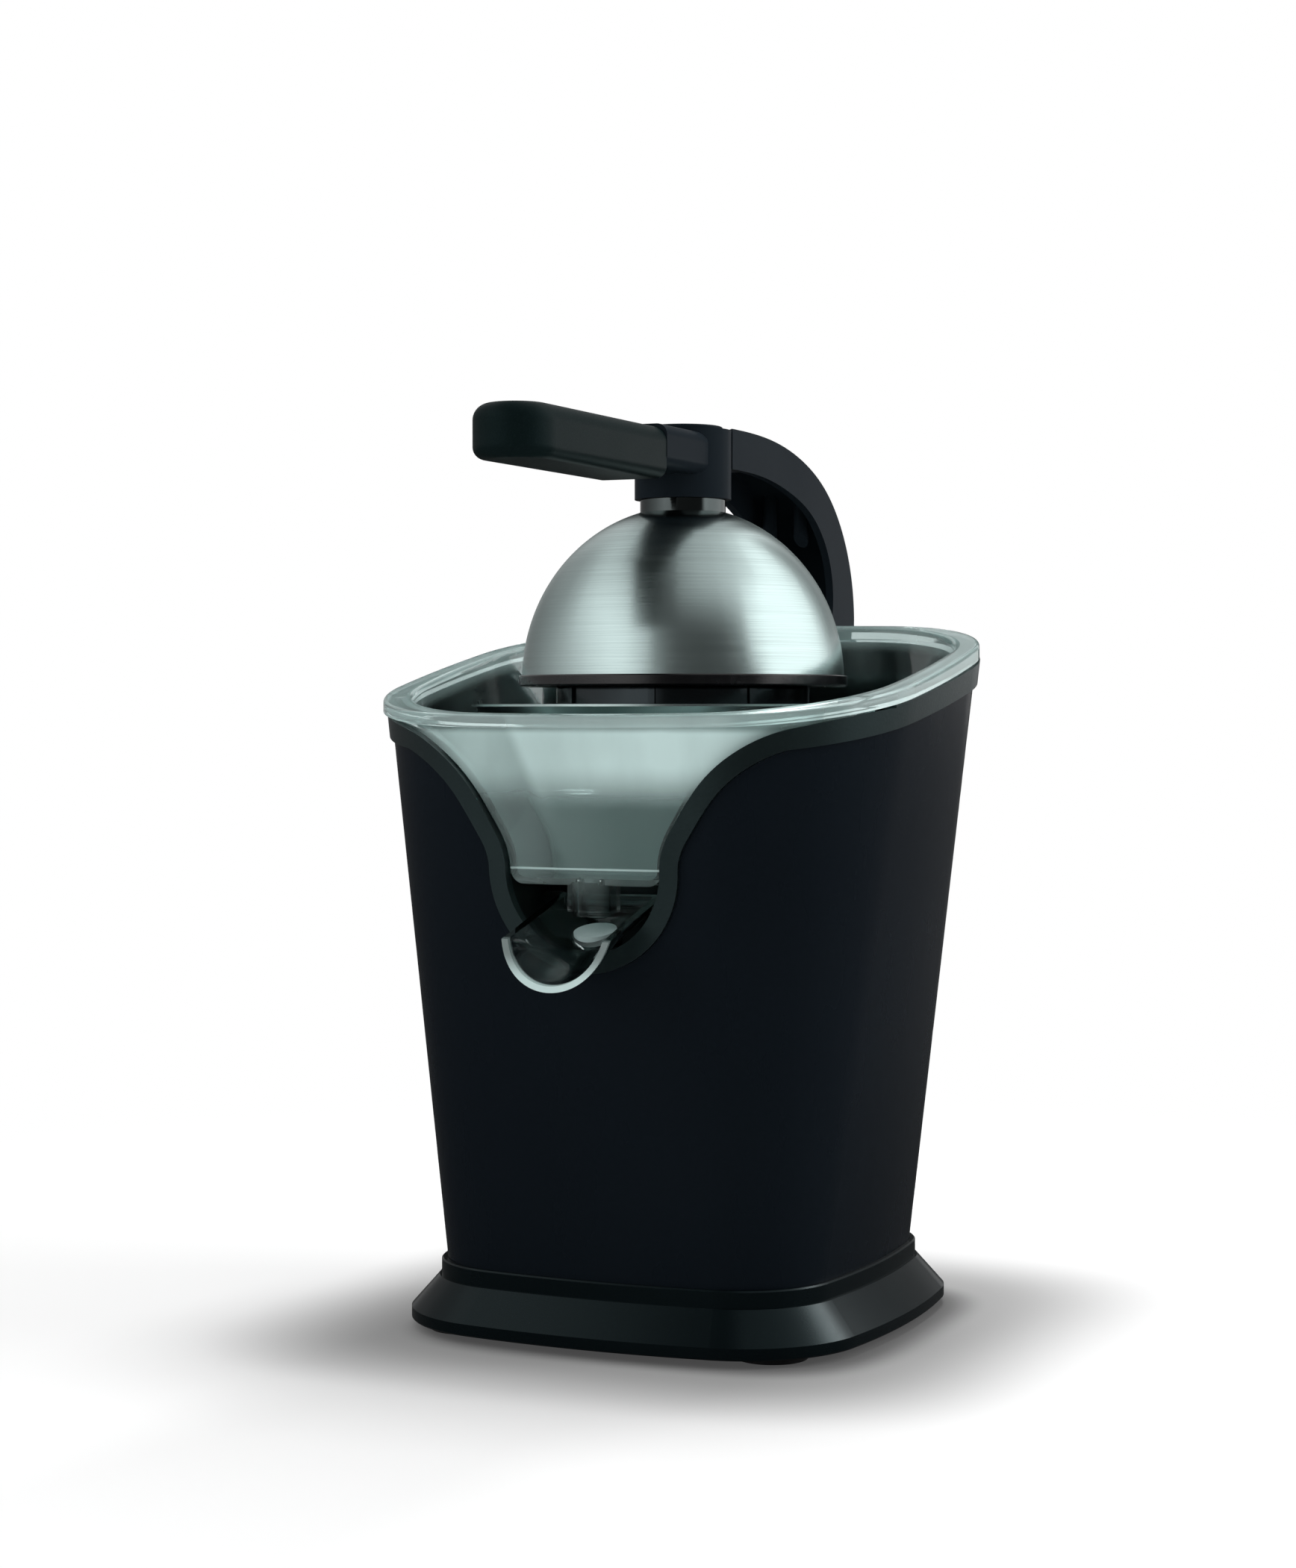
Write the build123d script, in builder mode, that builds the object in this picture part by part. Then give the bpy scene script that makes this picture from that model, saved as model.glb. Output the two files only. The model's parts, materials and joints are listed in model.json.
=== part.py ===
"""Lever citrus juice press: an electric reamer under a steel pressing dome on a hinged arm.

Millimetres, +Z up. The origin is on the table under the reamer spindle, the spout faces -Y
and the lever hinge is at the rear, with its axis along X.
"""

import os
from math import cos, pi, radians, sin, sqrt

from build123d import *

# ---------------------------------------------------------------- driving dimensions
# Body wall: a square plan with bulged sides, straight in section and wider at the top
FOOT_HALF, FOOT_CORNER, FOOT_SIDE_R = 74.0, 34.0, 320.0
WALL_FOOT_Z, WALL_REF_Z = 24.0, 205.0
TOP_HALF_X, TOP_HALF_Y, TOP_CORNER, TOP_SIDE_R = 96.4, 87.5, 60.0, 450.0
SHELL_T = 2.5
SHELL_Z = 20.0
LOFT_TOP_Z = 262.0

# The top edge slopes up to the rear
SLOPE = 0.19
TRIM_LOW_Z, TRIM_HIGH_Z = 219.0, 227.4
RIM_LOW_Z, RIM_HIGH_Z, RIM_SLOPE = 228.0, 233.0, 0.2
TRIM_PROUD = 1.5

# Cut-out in the front wall: an arc below, flaring out to the sloping edge
CUT_R, CUT_Z = 35.0, 164.0
CUT_FLARE = ((39.6, 176.5, 62.0), (50.5, 191.8, 47.0), (64.5, 202.0, 28.0), (84.0, 208.0, 14.0))
CUT_BAND = 6.4

# Base
BASE_HALF, BASE_CORNER, BASE_LOW_Z, BASE_BAND_Z = 86.5, 44.0, 2.8, 7.0
COLLAR_HALF, COLLAR_CORNER, COLLAR_LOW_Z, COLLAR_TOP_Z = 76.0, 35.0, 18.0, 24.0
BASE_SIDE_R, BASE_LEDGE_Z, BASE_EDGE = 320.0, 17.0, 0.5
PLATE_Z, PLATE_T, PLATE_HALF = 3.0, 2.5, 81.0
FOOT_XY, FOOT_R, FOOT_EDGE = 58.0, 12.5, 0.4
VENT_LENGTH, VENT_WIDTH, VENT_PITCH, VENT_FIELDS = 54.0, 4.0, 9.0, 64.0
BASE_SCREW_R = 72.6

# Inner tub and niche
TUB_INSET, TUB_T, DECK_Z, DECK_T = SHELL_T + 0.1, 2.0, 184.0, 3.0
PAD_XY, PAD_R = 46.0, 4.0
NICHE_BACK_Y, NICHE_T = -42.0, 2.0
TOWER_R, TOWER_TOP_Z = 9.6, 207.5

# Juice bowl
RIM_HALF_X, RIM_HALF_Y, RIM_SIDE_R, RIM_CORNER, RIM_Y = 100.4, 87.2, 450.0, 56.0, 0.6
BOWL_INSET, BOWL_T, BOWL_FLOOR_Z = 6.2, 2.2, 188.4
CHIN_INSET, CHIN_OUTSET, CHIN_BACK_Y, CHIN_LOW_Z = 6.9, -1.6, -48.0, 158.9
BOWL_FLOOR_FILLET, CHIN_FILLET, RIM_FILLET, RIM_INNER_FILLET = 9.0, 5.0, 1.4, 2.4
CHIMNEY_R, CHIMNEY_NECK_R, CHIMNEY_BORE_R = 17.0, 12.8, 10.2
CHIMNEY_SHOULDER_Z, CHIMNEY_TOP_Z = 193.6, 212.0
NOZZLE_Y, NOZZLE_R, NOZZLE_LOW_Z = -75.0, 9.0, 150.0
LIP_R, LIP_LOW_Z, NOZZLE_BORE_R = 7.0, 148.2, 5.2

# Strainer dish
DISH_R, DISH_RIM_Z, DISH_FLOOR_R, DISH_FLOOR_Z, DISH_T = 74.5, 219.0, 41.0, 193.6, 0.8

# Spindle, reamer and press-to-start travel
SPINDLE_R, SPINDLE_LOW_Z, SPINDLE_TOP_Z = 4.0, 150.5, 246.0
HEX_FLATS = 6.9
REAMER_R, REAMER_LOW_Z, REAMER_WALL_Z, REAMER_TOP_Z, REAMER_T = 45.6, 200.0, 225.0, 272.0, 2.2
REAMER_CURVE = ((40.0, 235.0), (30.0, 248.0), (18.0, 261.0), (8.0, 269.0))
REAMER_BLADES, BLADE_PHASE, BLADE_T, BLADE_RISE, REAMER_HUB_R, REAMER_HUB_Z = 8, 10, 2.4, 1.0, 8.0, 216.0
FIT = 0.04
COLLAR_R, COLLAR_BORE_R, BUSH_R, BUSH_LOW_Z = 6.4, 7.2, 6.1, 190.0

# Gear train, module 1: 48 on the spindle, 12 and 44 on the idler, 11 on the motor
MODULE = 1.0
OUTPUT_TEETH, IDLER_PINION_TEETH, IDLER_TEETH, MOTOR_TEETH = 48, 12, 44, 11
IDLER_ANGLE, MOTOR_ANGLE = 30.0, 110.0
OUTPUT_Z, IDLER_Z, GEAR_T = 160.0, 151.0, 7.0
GEARBOX_Z, GEARBOX_T, COVER_TOP_Z = 145.0, 3.0, 174.0
OUTPUT_HUB_R, OUTPUT_HUB_TOP_Z, AXLE_R, MOTOR_SHAFT_R = 8.0, 178.0, 2.0, 2.5
MOTOR_R, MOTOR_LOW_Z = 26.0, 86.0
PLATE_CENTRE, BOSS_SPACING = (10.0, 12.0), (88.0, 68.0)

BEARING_R, PLUNGER_R, SWITCH_HEIGHT = 10.5, 1.5, 12.0
COLLAR_Z, SPRING_R, SPRING_WIRE, SPRING_TURNS = 187.4, 5.2, 1.0, 4

# Lever
PIVOT_Y, PIVOT_Z, PIVOT_PIN_R = 118.0, 212.0, 3.0
ARM_HALF, ARM_T, BOSS_R = 16.0, 3.0, 14.0
ARM_TOP = ((8.0, 319.1), (44.7, 318.2), (79.1, 312.4), (105.5, 301.3), (122.2, 286.2), (134.2, 254.0))
ARM_UNDER = ((8.0, 304.6), (38.0, 303.8), (68.2, 299.1), (91.8, 290.4), (105.0, 278.5), (110.0, 256.0))
HUB_R, HUB_LOW_Z, HUB_TOP_Z, CAP_R, CAP_T = 17.4, 293.4, 318.2, 14.5, 1.4
GRIP_HALF, GRIP_LOW_Z, GRIP_TOP_Z, GRIP_TIP_Y, GRIP_BACK_Y = 14.0, 297.5, 315.5, -146.5, -46.0
SEAM_Z, SEAM_FRONT_Y = 301.5, -118.0
BEAK_HALF, BEAK_LOW_Z, BEAK_TOP_Z = 14.2, 301.5, 316.5
CORE_SIZE, CORE_Z, CORE_DEPTH, CORE_LENGTH = (14.0, 8.0), 308.0, 28.0, 104.0
ARM_HOLLOW = ((22.0, 315.8), (44.0, 315.0), (77.6, 309.4), (103.2, 298.6), (119.2, 284.6), (130.8, 254.0))
ARM_POST_X, ARM_POST_Y, ARM_POST_R = 6.5, 100.0, 2.8
EAR_R, EAR_IN, EAR_OUT = 12.0, 16.4, 22.5
BRACKET_Y, BRACKET_Z, BRACKET_EDGE_R, BRACKET_FACE_Y = 85.0, (165.0, 221.0), 4.0, 99.0

# Pressing dome: half an ellipse turned about the spindle axis
DOME_R, DOME_RISE, DOME_CENTRE_Z, DOME_LOW_Z, DOME_T = 58.0, 62.5, 228.5, 230.2, 1.0
NECK_R, STUD_R, STUD_HEAD_Z, STUD_TOP_Z = 15.4, 3.0, 289.6, 306.0
SEAL_R, SEAL_LOW_Z, SEAL_LIP, SEAL_LIP_T = 59.2, 226.2, 2.8, 1.1

# Spout scoop
SPOUT_PIVOT_Y, SPOUT_PIVOT_Z, SPOUT_PIN_R = -57.0, 151.5, 1.5
SCOOP_HALF, SCOOP_T = 19.6, 2.0
SCOOP_TILT, SCOOP_SLOPE, SCOOP_RIM_Z, SCOOP_TIP_Y, SCOOP_BACK_Y = 16.0, 0.286, 142.0, -105.0, -60.0
SCOOP_SECTIONS = ((-60.0, 8.0), (-74.0, 11.6), (-85.0, 11.5), (-96.0, 13.4), (-105.0, 15.6), (-112.0, 15.0))
SCOOP_MOUTH_TOP, SCOOP_MOUTH_LOW = (-105.0, 142.6), (-109.9, 124.0)
SPOUT_BOSS_R, SPOUT_BOSS_X, SPOUT_BOSS_T = 3.6, 20.3, 6.6
SPOUT_BARREL_R, SPOUT_BARREL_X = 3.2, 19.0
PLUG_R, PLUG_T, PLUG_Y, PLUG_TOP_Z, PLUG_STEM_R = 7.4, 2.4, -74.0, 143.3, 3.5
PLUG_STEM, PLUG_SEAT_DEPTH, PLUG_SEAT_T, PLUG_SEAT_WALL = 4.0, 5.2, 2.9, 1.4

# Rear fittings
HINGE_SCREWS, HINGE_SCREW_R = ((-18, 166), (18, 166), (-18, 179), (18, 179)), 2.0
HINGE_SCREW_TIP_Y, HINGE_SCREW_LENGTH, HINGE_HEAD_R, HINGE_HEAD_T = 93.5, 14.0, 3.4, 4.5
GLAND_Z, GLAND_R, GLAND_BORE_R, GLAND_FACE_Y = 44.0, 6.5, 3.4, 74.0
GLAND_FLANGE, GLAND_FLANGE_T, GLAND_SLEEVE_Y, GLAND_SLEEVE = 2.0, 5.0, 69.0, 8.0
GLAND_NUT_Y, GLAND_NUT_T = 69.5, 5.0

FAR = 150.0

os.makedirs("parts", exist_ok=True)


# ---------------------------------------------------------------- shared forms
def bulged_square(half_x, half_y, side_radius, corner_radius):
    """A square plan whose sides are large arcs and whose corners are rounded."""
    a, b = half_x - side_radius, half_y - side_radius
    # the corner is where the side arcs meet: x lies on both circles
    slope, lift = a / b, (b * b - a * a) / (2 * b)
    qa, qb, qc = 1 + slope * slope, 2 * slope * lift - 2 * a, a * a + lift * lift - side_radius**2
    x = (-qb + sqrt(qb * qb - 4 * qa * qc)) / (2 * qa)
    y = lift + slope * x
    with BuildSketch() as plan:
        with BuildLine():
            ThreePointArc((x, -y), (half_x, 0), (x, y))
            ThreePointArc((x, y), (0, half_y), (-x, y))
            ThreePointArc((-x, y), (-half_x, 0), (-x, -y))
            ThreePointArc((-x, -y), (0, -half_y), (x, -y))
        make_face()
        fillet(plan.vertices(), corner_radius)
    return plan.sketch


def wall_plan(z, outset):
    """The body's plan at height z, grown by outset."""
    k = (z - WALL_FOOT_Z) / (WALL_REF_Z - WALL_FOOT_Z)
    return bulged_square(
        FOOT_HALF + (TOP_HALF_X - FOOT_HALF) * k + outset,
        FOOT_HALF + (TOP_HALF_Y - FOOT_HALF) * k + outset,
        FOOT_SIDE_R + (TOP_SIDE_R - FOOT_SIDE_R) * k + outset,
        FOOT_CORNER + (TOP_CORNER - FOOT_CORNER) * k + outset,
    )


def wall_block(outset, low_z=SHELL_Z):
    """The whole space inside the body's wall above low_z, grown by outset."""
    with BuildPart() as block:
        for z in (SHELL_Z, LOFT_TOP_Z):
            with BuildSketch(Plane.XY.offset(z)):
                add(wall_plan(z, outset))
        loft(ruled=True)
        if low_z > SHELL_Z:
            split(bisect_by=Plane.XY.offset(low_z), keep=Keep.TOP)
    return block.part


def above_slope(z_at_axis, slope=SLOPE):
    """Everything above the sloping plane that crosses the spindle axis at this height."""
    with BuildPart() as block:
        with BuildSketch(Plane.YZ):
            with BuildLine():
                Polyline(
                    (-FAR, z_at_axis - FAR * slope),
                    (FAR, z_at_axis + FAR * slope),
                    (FAR, 2 * FAR),
                    (-FAR, 2 * FAR),
                    close=True,
                )
            make_face()
        extrude(amount=FAR, both=True)
    return block.part


def cut_out(inset, back_y):
    """The front cut-out, shrunk by inset, from back_y forwards through the front wall."""
    r = CUT_R - inset
    flare = [(x - inset * sin(radians(a)), z + inset * cos(radians(a))) for x, z, a in CUT_FLARE]
    last = radians(CUT_FLARE[-1][2])
    with BuildPart() as block:
        with BuildSketch(Plane.XZ.offset(-back_y)):
            with BuildLine():
                ThreePointArc((-r, CUT_Z), (0, CUT_Z - r), (r, CUT_Z))
                right = Spline((r, CUT_Z), *flare, tangents=((0, 1), (cos(last), sin(last))))
                Polyline(right @ 1, (FAR, 235), (FAR, 2 * FAR), (0, 2 * FAR))
                mirror(about=Plane.YZ)
            make_face()
        extrude(amount=FAR + back_y)
    return block.part


wall_outer = wall_block(0)
wall_inner = wall_block(-SHELL_T)

# ---------------------------------------------------------------- body shell and trim
with BuildPart() as body_shell:
    add(wall_outer)
    add(wall_inner, mode=Mode.SUBTRACT)
    add(above_slope(TRIM_LOW_Z), mode=Mode.SUBTRACT)
    add(cut_out(0, NICHE_BACK_Y), mode=Mode.SUBTRACT)
    with BuildSketch(Plane.XZ.offset(-FOOT_HALF - GLAND_SLEEVE)):
        with Locations((0, GLAND_Z)):
            Circle(GLAND_R)
    extrude(amount=2 * GLAND_SLEEVE, mode=Mode.SUBTRACT)
    with BuildSketch(Plane.XZ):
        with Locations(*HINGE_SCREWS):
            Circle(HINGE_SCREW_R)
    extrude(amount=-FAR, mode=Mode.SUBTRACT)
body_shell.part.label = "body_shell"
export_step(body_shell.part, "parts/body_shell.step")

with BuildPart() as trim_frame:
    add(wall_block(TRIM_PROUD, 100.0))
    add(wall_block(-SHELL_T, 100.0), mode=Mode.SUBTRACT)
    add(above_slope(TRIM_LOW_Z) + cut_out(0, NICHE_BACK_Y), mode=Mode.INTERSECT)
    add(above_slope(TRIM_HIGH_Z), mode=Mode.SUBTRACT)
    add(cut_out(CUT_BAND, NICHE_BACK_Y), mode=Mode.SUBTRACT)
trim_frame.part.label = "trim_frame"
export_step(trim_frame.part, "parts/trim_frame.step")

# ---------------------------------------------------------------- base
with BuildPart() as base_skirt:
    with BuildSketch(Plane.XY.offset(BASE_LOW_Z)):
        add(bulged_square(BASE_HALF, BASE_HALF, BASE_SIDE_R, BASE_CORNER))
    extrude(amount=BASE_BAND_Z - BASE_LOW_Z)
    for z, half, corner in (
        (BASE_BAND_Z, BASE_HALF, BASE_CORNER),
        (COLLAR_LOW_Z, COLLAR_HALF + 0.8, COLLAR_CORNER + 0.8),
    ):
        with BuildSketch(Plane.XY.offset(z)):
            add(bulged_square(half, half, BASE_SIDE_R, corner))
    loft(ruled=True)
    with BuildSketch(Plane.XY.offset(COLLAR_LOW_Z)):
        add(bulged_square(COLLAR_HALF, COLLAR_HALF, BASE_SIDE_R, COLLAR_CORNER))
    extrude(amount=COLLAR_TOP_Z - COLLAR_LOW_Z)
    rings = base_skirt.edges().group_by(Axis.Z)
    chamfer(rings[0], BASE_EDGE)
    chamfer(rings[-1], BASE_EDGE)
    # seat for the bottom plate, hollow, and the ledge that carries the shell
    for z, half, corner, depth in (
        (BASE_LOW_Z, PLATE_HALF + 0.3, 38.8, PLATE_Z + PLATE_T - BASE_LOW_Z),
        (PLATE_Z + PLATE_T, COLLAR_HALF - 0.5, COLLAR_CORNER - 0.5, BASE_LEDGE_Z - PLATE_Z - PLATE_T),
        (BASE_LEDGE_Z, COLLAR_HALF - 6, COLLAR_CORNER - 6, SHELL_Z - BASE_LEDGE_Z),
        (SHELL_Z, COLLAR_HALF - 1.9, COLLAR_CORNER - 1, COLLAR_TOP_Z - SHELL_Z),
    ):
        with BuildSketch(Plane.XY.offset(z)):
            add(bulged_square(half, half, BASE_SIDE_R, corner))
        extrude(amount=depth, mode=Mode.SUBTRACT)
    # screw posts down from the ledge
    with BuildSketch(Plane.XY.offset(PLATE_Z + PLATE_T)):
        with PolarLocations(BASE_SCREW_R, 4):
            Circle(3.6)
    extrude(amount=BASE_LEDGE_Z + 0.5 - PLATE_Z - PLATE_T)
    with BuildSketch(Plane.XY.offset(PLATE_Z + PLATE_T)):
        with PolarLocations(BASE_SCREW_R, 4):
            Circle(1.5)
    extrude(amount=10.0, mode=Mode.SUBTRACT)
base_skirt.part.label = "base_skirt"
export_step(base_skirt.part, "parts/base_skirt.step")

with BuildPart() as bottom_plate:
    with BuildSketch(Plane.XY.offset(PLATE_Z)):
        add(bulged_square(PLATE_HALF, PLATE_HALF, BASE_SIDE_R, 38.5))
        with PolarLocations(BASE_SCREW_R, 4):
            Circle(1.7, mode=Mode.SUBTRACT)
        with GridLocations(0, VENT_FIELDS, 1, 2):
            with GridLocations(0, VENT_PITCH, 1, 4):
                SlotOverall(VENT_LENGTH, VENT_WIDTH, mode=Mode.SUBTRACT)
    extrude(amount=PLATE_T)
bottom_plate.part.label = "bottom_plate"
export_step(bottom_plate.part, "parts/bottom_plate.step")

with BuildPart() as rubber_feet:
    with GridLocations(2 * FOOT_XY, 2 * FOOT_XY, 2, 2):
        Cylinder(FOOT_R, PLATE_Z, align=(Align.CENTER, Align.CENTER, Align.MIN))
    # the fifth, in the middle, takes the load of pressing
    Cylinder(FOOT_R, PLATE_Z, align=(Align.CENTER, Align.CENTER, Align.MIN))
    chamfer(rubber_feet.edges().group_by(Axis.Z)[0], FOOT_EDGE)
rubber_feet.part.label = "rubber_feet"
export_step(rubber_feet.part, "parts/rubber_feet.step")

with BuildPart() as base_screws:
    with BuildSketch(Plane.XY.offset(PLATE_Z)):
        with PolarLocations(BASE_SCREW_R, 4):
            Circle(1.5)
    extrude(amount=PLATE_T + 8.0)
    with BuildSketch(Plane.XY.offset(PLATE_Z)):
        with PolarLocations(BASE_SCREW_R, 4):
            Circle(3.0)
    extrude(amount=-1.8)
base_screws.part.label = "base_screws"
export_step(base_screws.part, "parts/base_screws.step")

# ---------------------------------------------------------------- inner tub and niche
with BuildPart() as inner_tub:
    add(wall_block(-TUB_INSET, DECK_Z))
    add(wall_block(-TUB_INSET - TUB_T, DECK_Z + DECK_T), mode=Mode.SUBTRACT)
    add(above_slope(TRIM_HIGH_Z), mode=Mode.SUBTRACT)
    add(cut_out(CUT_BAND, NICHE_BACK_Y - NICHE_T), mode=Mode.SUBTRACT)
    with BuildSketch(Plane.XY.offset(DECK_Z)):
        Circle(TOWER_R)
    extrude(amount=TOWER_TOP_Z - DECK_Z)
    # pads under the bowl and bosses down to the gearbox
    with BuildSketch(Plane.XY.offset(DECK_Z + DECK_T)):
        with GridLocations(2 * PAD_XY, PAD_XY, 2, 2):
            Circle(PAD_R)
    extrude(amount=BOWL_FLOOR_Z - DECK_Z - DECK_T)
    with BuildSketch(Plane.XY.offset(DECK_Z)):
        with Locations(PLATE_CENTRE):
            with GridLocations(*BOSS_SPACING, 2, 2):
                Circle(5.0)
    extrude(amount=GEARBOX_Z + GEARBOX_T - DECK_Z)
    with BuildSketch(Plane.XY.offset(GEARBOX_Z + GEARBOX_T)):
        with Locations(PLATE_CENTRE):
            with GridLocations(*BOSS_SPACING, 2, 2):
                Circle(1.6)
    extrude(amount=12.0, mode=Mode.SUBTRACT)
    with BuildSketch(Plane.XY.offset(DECK_Z)):
        Circle(COLLAR_BORE_R)
    extrude(amount=BUSH_LOW_Z - DECK_Z, mode=Mode.SUBTRACT)
    with BuildSketch(Plane.XY.offset(BUSH_LOW_Z)):
        Circle(BUSH_R)
    extrude(amount=TOWER_TOP_Z - BUSH_LOW_Z, mode=Mode.SUBTRACT)
inner_tub.part.label = "inner_tub"
export_step(inner_tub.part, "parts/inner_tub.step")

with BuildPart() as spout_niche:
    add(cut_out(CUT_BAND - NICHE_T, NICHE_BACK_Y))
    add(cut_out(CUT_BAND, NICHE_BACK_Y - NICHE_T), mode=Mode.SUBTRACT)
    split(bisect_by=Plane.XY.offset(DECK_Z), keep=Keep.BOTTOM)
    # bosses on the side walls for the spout's pin
    with BuildSketch(Plane.YZ):
        with Locations((SPOUT_PIVOT_Y, SPOUT_PIVOT_Z)):
            Circle(SPOUT_BOSS_R)
    extrude(amount=SPOUT_BOSS_X + SPOUT_BOSS_T, both=True)
    with BuildSketch(Plane.YZ):
        with Locations((SPOUT_PIVOT_Y, SPOUT_PIVOT_Z)):
            Circle(SPOUT_BOSS_R)
    extrude(amount=SPOUT_BOSS_X, both=True, mode=Mode.SUBTRACT)
    with BuildSketch(Plane.YZ):
        with Locations((SPOUT_PIVOT_Y, SPOUT_PIVOT_Z)):
            Circle(SPOUT_PIN_R)
    extrude(amount=FAR, both=True, mode=Mode.SUBTRACT)
    add(wall_block(-TUB_INSET, 100.0), mode=Mode.INTERSECT)
spout_niche.part.label = "spout_niche"
export_step(spout_niche.part, "parts/spout_niche.step")

with BuildPart() as spout_pin:
    with BuildSketch(Plane.YZ):
        with Locations((SPOUT_PIVOT_Y, SPOUT_PIVOT_Z)):
            Circle(SPOUT_PIN_R)
    extrude(amount=SPOUT_BOSS_X + 6.0, both=True)
spout_pin.part.label = "spout_pin"
export_step(spout_pin.part, "parts/spout_pin.step")

# ---------------------------------------------------------------- juice bowl
def bowl_space(thickness):
    """The bowl's tub and its chin in the front cut-out, shrunk by a wall thickness."""
    with BuildPart() as chin:
        add(cut_out(CHIN_INSET + thickness, CHIN_BACK_Y - thickness))
        split(bisect_by=Plane.XY.offset(CHIN_LOW_Z + thickness), keep=Keep.TOP)
        floor_edges = chin.edges().filter_by(Axis.Y).group_by(Axis.Z)[0]
        fillet(floor_edges, CHIN_FILLET - thickness)
        add(wall_block(CHIN_OUTSET - thickness, 100.0), mode=Mode.INTERSECT)
    with BuildPart() as space:
        add(wall_block(-BOWL_INSET - thickness, BOWL_FLOOR_Z + thickness))
        fillet(space.edges().group_by(Axis.Z)[0], BOWL_FLOOR_FILLET - thickness)
        add(chin.part)
    return space.part


rim_up = Axis((0, 0, 0), (0, -RIM_SLOPE, 1))

with BuildPart() as bowl_rim:
    with BuildSketch(Plane.XY.offset(DECK_Z)):
        with Locations((0, RIM_Y)):
            add(bulged_square(RIM_HALF_X, RIM_HALF_Y, RIM_SIDE_R, RIM_CORNER))
    extrude(amount=80)
    add(above_slope(RIM_LOW_Z), mode=Mode.INTERSECT)
    add(above_slope(RIM_HIGH_Z, RIM_SLOPE), mode=Mode.SUBTRACT)
    fillet(bowl_rim.faces().sort_by(rim_up)[-1].outer_wire().edges(), RIM_FILLET)
    add(wall_block(-BOWL_INSET - BOWL_T), mode=Mode.SUBTRACT)
    fillet(bowl_rim.faces().sort_by(rim_up)[-1].inner_wires().edges(), RIM_INNER_FILLET)

with BuildPart() as juice_bowl:
    add(bowl_space(0))
    add(bowl_space(BOWL_T), mode=Mode.SUBTRACT)
    add(above_slope(RIM_LOW_Z), mode=Mode.SUBTRACT)
    add(bowl_rim.part)
    # chimney round the spindle tower, with the shoulder that carries the strainer
    with BuildSketch(Plane.XY.offset(BOWL_FLOOR_Z)):
        Circle(CHIMNEY_R)
    extrude(amount=CHIMNEY_SHOULDER_Z - BOWL_FLOOR_Z)
    with BuildSketch(Plane.XY.offset(CHIMNEY_SHOULDER_Z)):
        Circle(CHIMNEY_NECK_R)
    extrude(amount=CHIMNEY_TOP_Z - CHIMNEY_SHOULDER_Z)
    with BuildSketch(Plane.XY.offset(BOWL_FLOOR_Z)):
        Circle(CHIMNEY_BORE_R)
    extrude(amount=CHIMNEY_TOP_Z - BOWL_FLOOR_Z, mode=Mode.SUBTRACT)
    # pouring nozzle under the chin
    for radius, low_z in ((NOZZLE_R, NOZZLE_LOW_Z), (LIP_R, LIP_LOW_Z)):
        with BuildSketch(Plane.XY.offset(low_z)):
            with Locations((0, NOZZLE_Y)):
                Circle(radius)
        extrude(amount=CHIN_LOW_Z + BOWL_T / 2 - low_z)
    with BuildSketch(Plane.XY.offset(LIP_LOW_Z)):
        with Locations((0, NOZZLE_Y)):
            Circle(NOZZLE_BORE_R)
    extrude(amount=CHIN_LOW_Z + BOWL_T - LIP_LOW_Z, mode=Mode.SUBTRACT)
juice_bowl.part.label = "juice_bowl"
export_step(juice_bowl.part, "parts/juice_bowl.step")

# ---------------------------------------------------------------- strainer dish
with BuildPart() as strainer_dish:
    with BuildSketch(Plane.XZ):
        with BuildLine():
            Spline(
                (DISH_FLOOR_R, DISH_FLOOR_Z),
                (DISH_R - 14.0, DISH_FLOOR_Z + 6.4),
                (DISH_R, DISH_RIM_Z),
                tangents=((1, 0), (0.5, 1)),
            )
            Spline(
                (DISH_FLOOR_R - 0.3, DISH_FLOOR_Z + DISH_T),
                (DISH_R - 14.4, DISH_FLOOR_Z + 7.1),
                (DISH_R - 0.6, DISH_RIM_Z + DISH_T),
                tangents=((1, 0), (0.5, 1)),
            )
            Polyline(
                (DISH_R, DISH_RIM_Z),
                (DISH_R + 1.6, DISH_RIM_Z),
                (DISH_R + 1.6, DISH_RIM_Z + DISH_T),
                (DISH_R - 0.6, DISH_RIM_Z + DISH_T),
            )
            Polyline(
                (DISH_FLOOR_R, DISH_FLOOR_Z),
                (CHIMNEY_NECK_R + 0.4, DISH_FLOOR_Z),
                (CHIMNEY_NECK_R + 0.4, DISH_FLOOR_Z + DISH_T),
                (DISH_FLOOR_R - 0.3, DISH_FLOOR_Z + DISH_T),
            )
        make_face()
    revolve(axis=Axis.Z)
    # two rings of drain slots
    with BuildSketch(Plane.XY.offset(DISH_FLOOR_Z - 1)):
        with PolarLocations(24.0, 12):
            SlotOverall(9.0, 2.2)
        with PolarLocations(35.0, 18):
            SlotOverall(9.0, 2.2)
    extrude(amount=DISH_T + 2, mode=Mode.SUBTRACT)
strainer_dish.part.label = "strainer_dish"
export_step(strainer_dish.part, "parts/strainer_dish.step")

# ---------------------------------------------------------------- gear train
def gear_plan(teeth):
    """A spur gear's outline with straight flanks, its first tooth centred on +X."""
    pitch_r = MODULE * teeth / 2
    root, tip = pitch_r - 1.15 * MODULE, pitch_r + 0.85 * MODULE
    points = []
    for tooth in range(teeth):
        middle = 2 * pi * tooth / teeth
        for radius, half_width in ((root, -0.98), (tip, -0.4), (tip, 0.4), (root, 0.98)):
            angle = middle + half_width * MODULE / radius
            points.append((radius * cos(angle), radius * sin(angle)))
    with BuildSketch() as plan:
        with BuildLine():
            Polyline(*points, close=True)
        make_face()
    return plan.sketch


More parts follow.
